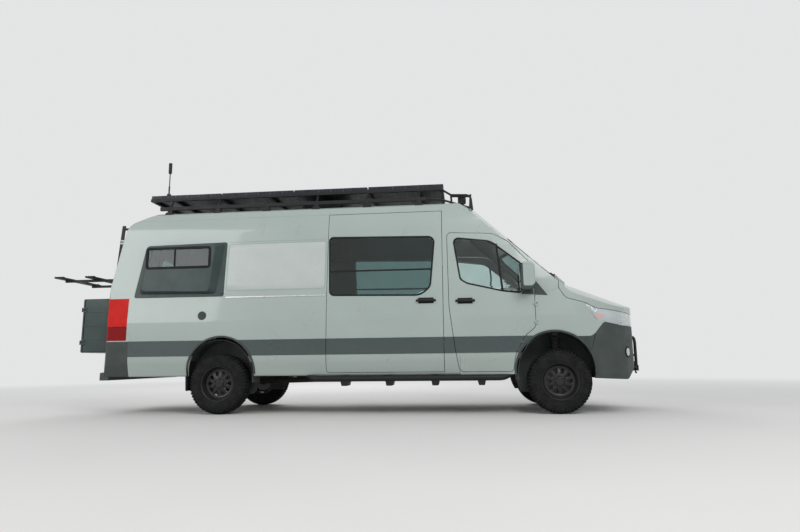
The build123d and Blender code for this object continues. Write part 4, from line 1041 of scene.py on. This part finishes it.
# Springs, calipers and dampers behind the wheels
for side, name in SIDES:
    y = side * 700
    parts = Form().tube(coil((0, y, 640), 68, 8.2, math.pi / 12, 121), 7.5, 8)
    parts.lathe([(628, 25), (628, 84), (636, 84), (640, 25)], (0, y, 0), 32, "z")
    parts.build(f"coil_spring_{name}", "chassis_metal", f"steered_hub_{name}")
    out = side * (TRACK / 2 - 54)
    ring = arc(0, HUB_Z, 95, 150, 210, 6) + arc(0, HUB_Z, 170, 210, 150, 6)
    caliper = Form().prism("xz", ring, out - 30, out + 30)
    caliper.build(f"caliper_front_{name}", "engine_metal", f"steered_hub_{name}", bevel=5)
    x = -WHEELBASE
    damper = Form().rod((x - 150, side * 480, 330), (x - 260, side * 470, 640), 24, 20)
    damper.rod((x - 190, side * 476, 440), (x - 260, side * 470, 650), 34, 20)
    for k in range(5):
        damper.box((x - 610 + 90 * k, x + 610 - 90 * k), pair(side, 528, 592), (436 + 13 * k, 446 + 13 * k))
    damper.build(f"rear_damper_{name}", "chassis_metal", bevel=2)

# Seats: stuffed cushions with bolsters and piping
seats = Form()
piping = Form()
for y in (-450, 450):
    seats.box((-1235, -705), (y - 165, y + 165), (1008, 1122))
    back = Form(((-1345, -1248), (y - 160, y + 160), (1105, 1735)),
                ((-1352, -1330), (y - 225, y + 225), (1100, 1745)))
    for edge in (-1, 1):
        seats.box((-1235, -712), sorted((y + edge * 160, y + edge * 238)), (1010, 1142))
        back.box((-1345, -1215), sorted((y + edge * 150, y + edge * 236)), (1125, 1640))
        piping.rod((-1385, y + edge * 60, 1700), (-1385, y + edge * 60, 1800), 7, 12)
        line = y + edge * 163
        piping.tube([(-1225, line, 1119), (-960, line, 1125), (-720, line, 1121)], 4, 8)
    seats.join(back.turned((-1300, y, 1105), AXES["y"], math.radians(-8)))
    seats.box((-1428, -1336), (y - 128, y + 128), (1772, 1926))
made = seats.build("padded_seats", "seat_fabric", bevel=30, segments=5, replaces=("cab_seats",), weld=False)
piping.build("seat_piping", "rubber")
edge = Form()
for z in (1486, 1604):
    edge.tube([(u, v, z) for u, v in rectangle((-5836, -4317), (-893, 893), 40, steps=5)], 5, 8, True)
edge.build("mattress_piping", "bedding")
pillows = Form(*[((-5800, -5420), (y - 290, y + 290), (1608, 1718)) for y in (-420, 420)])
made = pillows.build("pillows", "linen", bevel=50, segments=6)

# Steering wheel with a round rim, spokes and a padded middle
CENTRE = Vector((-600, 450, 1400))
LINE = Vector((-0.72, 0, 0.69)).normalized()
wheel_across, wheel_up = square_to(LINE)
wheel = Form().tube(circle(CENTRE, wheel_across, wheel_up, 186, 48), 14, 14, True)
for angle in (0, 125, 235):
    t = math.radians(angle)
    out = wheel_across * math.cos(t) + wheel_up * math.sin(t)
    sideways = LINE.cross(out)
    rings = []
    for reach, half, drop in ((30, 30, 26), (90, 20, 20), (178, 14, 2)):
        base = CENTRE + out * reach - LINE * drop
        corners = ((1, 1), (-1, 1), (-1, -1), (1, -1))
        rings.append([base + sideways * half * u + LINE * 7 * v for u, v in corners])
    wheel.rings(rings)
wheel.rod(CENTRE - LINE * 50, CENTRE - LINE * 8, 68, 32, 58)
wheel.rod(CENTRE - LINE * 44, (-447.5, 450, 1253.4), 24, 24)
wheel.build("round_steering_wheel", "interior_plastic", bevel=3, replaces=("steering_wheel",))

# Dashboard fittings
dash = Form(((-486, -440), (300, 600), (1440, 1540)), ((-482, -440), (-130, 130), (1330, 1500)),
            ((-470, -452), (-760, -330), (1240, 1360)), ((-560, -440), (60, 160), (1180, 1215)))
for y in (-640, -200, 200, 700):
    dash.box((-474, -452), (y - 60, y + 60), (1400, 1450))
    for z in (1406, 1417, 1428, 1439):
        dash.box((-478, -470), (y - 54, y + 54), (z, z + 4))
dash.rod((-520, 110, 1215), (-535, 110, 1290), 11, 16)
dash.rod((-535, 110, 1285), (-540, 110, 1330), 22, 20, 18)
dash.build("dash_fittings", "interior_plastic", bevel=4)
screen = Form(((-489, -482), (-118, 118), (1345, 1488)), ((-492, -485), (312, 588), (1452, 1528)))
screen.build("dash_screens", "solar", bevel=1)

# Living space: worktop with sink, tap and hob, and locker doors with knobs
Form(((-3915, -2085), (462, 902), (1440, 1458))).build("worktop", "linen", bevel=3)
sink = rectangle((-3560, -3140), (540, 840), 50)
tap = ((865, 1458), (865, 1640), (840, 1680), (780, 1690), (730, 1670), (720, 1640))
fittings = Form().tube([(u, v, 1460) for u, v in sink], 6, 8, True).prism("xy", sink, 1456, 1459)
fittings.tube([(-3350, y, z) for y, z in tap], 11, 12)
for x in (-2620, -2380):
    fittings.tube(circle(Vector((x, 690, 1470)), AXES["x"], AXES["y"], 80, 32), 5, 8, True)
    fittings.rod((x, 690, 1458), (x, 690, 1472), 34, 24)
fittings.build("galley_fittings", "steel")
doors = Form()
knobs = Form()
for x in (-4180, -3783, -3386):
    for side in (-1, 1):
        doors.box((x, x + 385), pair(side, 633, 640), (2258, 2506))
        knobs.rod((x + 192, side * 634, 2285), (x + 192, side * 614, 2285), 9, 16, 13)
doors.build("locker_doors", "cabinet_wood", bevel=2)
knobs.build("locker_knobs", "steel", bevel=1)

# Engine bay: cover, fan and pulley, radiator, battery and hoses
bay = Form(*[((x, x + 70), (-215, 215), (1128, 1136)) for x in (120, 225, 330, 435, 540)])
bay.lathe([(0, 20), (12, 20), (12, 96), (0, 96)], (702, 0, 640), 40, "x")
bay.lathe([(0, 14), (12, 14), (12, 50), (0, 50)], (702, 150, 820), 32, "x")
bay.build("engine_fittings", "engine_metal", bevel=2)
cooler = Form(((748, 790), (-330, 330), (560, 930)),
              *[((744, 748), (-318, 318), (z, z + 3)) for z in range(572, 921, 12)])
cooler.build("radiator", "engine_metal", bevel=2)
hoses = Form().tube([(640, 160, 1060), (700, 200, 1080), (745, 230, 1040), (762, 250, 935)], 24, 14)
hoses.tube([(640, -160, 560), (705, -200, 540), (750, -240, 580), (762, -250, 640)], 24, 14)
hoses.box((300, 560), (-420, -262), (900, 1080)).box((330, 540), (262, 420), (880, 1090))
hoses.build("hoses_and_boxes", "rubber", bevel=8, segments=3)

# Camera as fitted to the photograph
FOCAL_PIXELS = 584.01
IMAGE_WIDTH = 800
CAMERA_PLACE = (-1152.4, -8341.1, 634.4)
YAW, PITCH, ROLL = 0.1066, 0.1638, -0.0105
camera = joined("camera", bpy.data.cameras.new("camera"))
camera.data.sensor_width = 36.0
camera.data.sensor_fit = "HORIZONTAL"
camera.data.lens = FOCAL_PIXELS * camera.data.sensor_width / IMAGE_WIDTH
camera.data.clip_end = 400
tilt = Matrix.Rotation(math.pi / 2 + PITCH, 4, "X") @ Matrix.Rotation(ROLL, 4, "Z")
camera.matrix_world = Matrix.Translation(to_row(CAMERA_PLACE)) @ Matrix.Rotation(YAW, 4, "Z") @ tilt
scene.camera = camera

# Floor and world, which show a pale backdrop to the camera, in mirrors and through glass
PALE = (0.86, 0.865, 0.87, 1)
PALE_STRENGTH = 0.9
FADE_START = 6.0
FADE_END = 17.0
FLOOR_HALF = 90


def seen_rays(tree):
    """Socket that is 1 for rays from the camera, off a mirror or through glass."""
    rays = tree.nodes.new("ShaderNodeLightPath").outputs
    seen = rays["Is Camera Ray"]
    for kind in ("Is Glossy Ray", "Is Transmission Ray"):
        larger = tree.nodes.new("ShaderNodeMath")
        larger.operation = "MAXIMUM"
        tree.links.new(seen, larger.inputs[0])
        tree.links.new(rays[kind], larger.inputs[1])
        seen = larger.outputs[0]
    return seen


def put_over(tree, output, factor, base, over):
    """Shader over laid over the base by a factor, as what the tree puts out."""
    blend = tree.nodes.new("ShaderNodeMixShader")
    for index, socket in enumerate((factor, base, over)):
        tree.links.new(socket, blend.inputs[index])
    tree.links.new(blend.outputs[0], tree.nodes[output].inputs["Surface"])


floor_mesh = bpy.data.meshes.new("floor")
corners = [(u * FLOOR_HALF, v * FLOOR_HALF, 0) for u, v in ((-1, -1), (1, -1), (1, 1), (-1, 1))]
floor_mesh.from_pydata(corners, [], [(0, 1, 2, 3)])
floor = joined("floor", floor_mesh)
finish = Finish("floor_pale", (0.66, 0.65, 0.63), 0.8)
finish.colour_from(finish.vary(0.5, 0.015)).rough(0.75, 0.85, 1.0)
# Far off, where no lamp reaches, the floor shows as the same pale tone as the world
away = finish.node("VectorMath", {"operation": "LENGTH"}, Vector=finish.place).outputs["Value"]
far = finish.math("MULTIPLY", finish.step(away, FADE_START, FADE_END), seen_rays(finish.tree))
pale = finish.node("Emission", Color=PALE, Strength=PALE_STRENGTH)
put_over(finish.tree, "Material Output", far, finish.shader.outputs[0], pale.outputs[0])
floor.data.materials.append(finish.material)

world = bpy.data.worlds.new("studio")
scene.world = world
world.use_nodes = True
tree = world.node_tree
background = tree.nodes["Background"]
shown = tree.nodes.new("ShaderNodeBackground")
for shader, colour, strength in ((background, (0.93, 0.96, 1.0, 1), 0.62), (shown, PALE, PALE_STRENGTH)):
    shader.inputs["Color"].default_value = colour
    shader.inputs["Strength"].default_value = strength
put_over(tree, "World Output", seen_rays(tree), background.outputs[0], shown.outputs[0])

# Lamps (name, place, aim, size, watts) in metres
LAMPS = [
    ("key", (5.5, -9.5, 8.0), (0.0, 0.0, 1.2), 6.0, 620),
    ("fill", (-7.5, -8.0, 5.0), (0.0, 0.0, 1.2), 6.0, 300),
    ("back", (-3.0, 10.0, 7.5), (0.0, 0.0, 1.5), 7.0, 520),
]
for name, place, aim, size, watts in LAMPS:
    lamp = joined(name, bpy.data.lights.new(name, "AREA"))
    lamp.data.shape = "SQUARE"
    lamp.data.size = size
    lamp.data.energy = watts
    lamp.location = place
    lamp.rotation_euler = (Vector(aim) - Vector(place)).to_track_quat("-Z", "Y").to_euler()

scene.view_settings.view_transform = "Standard"
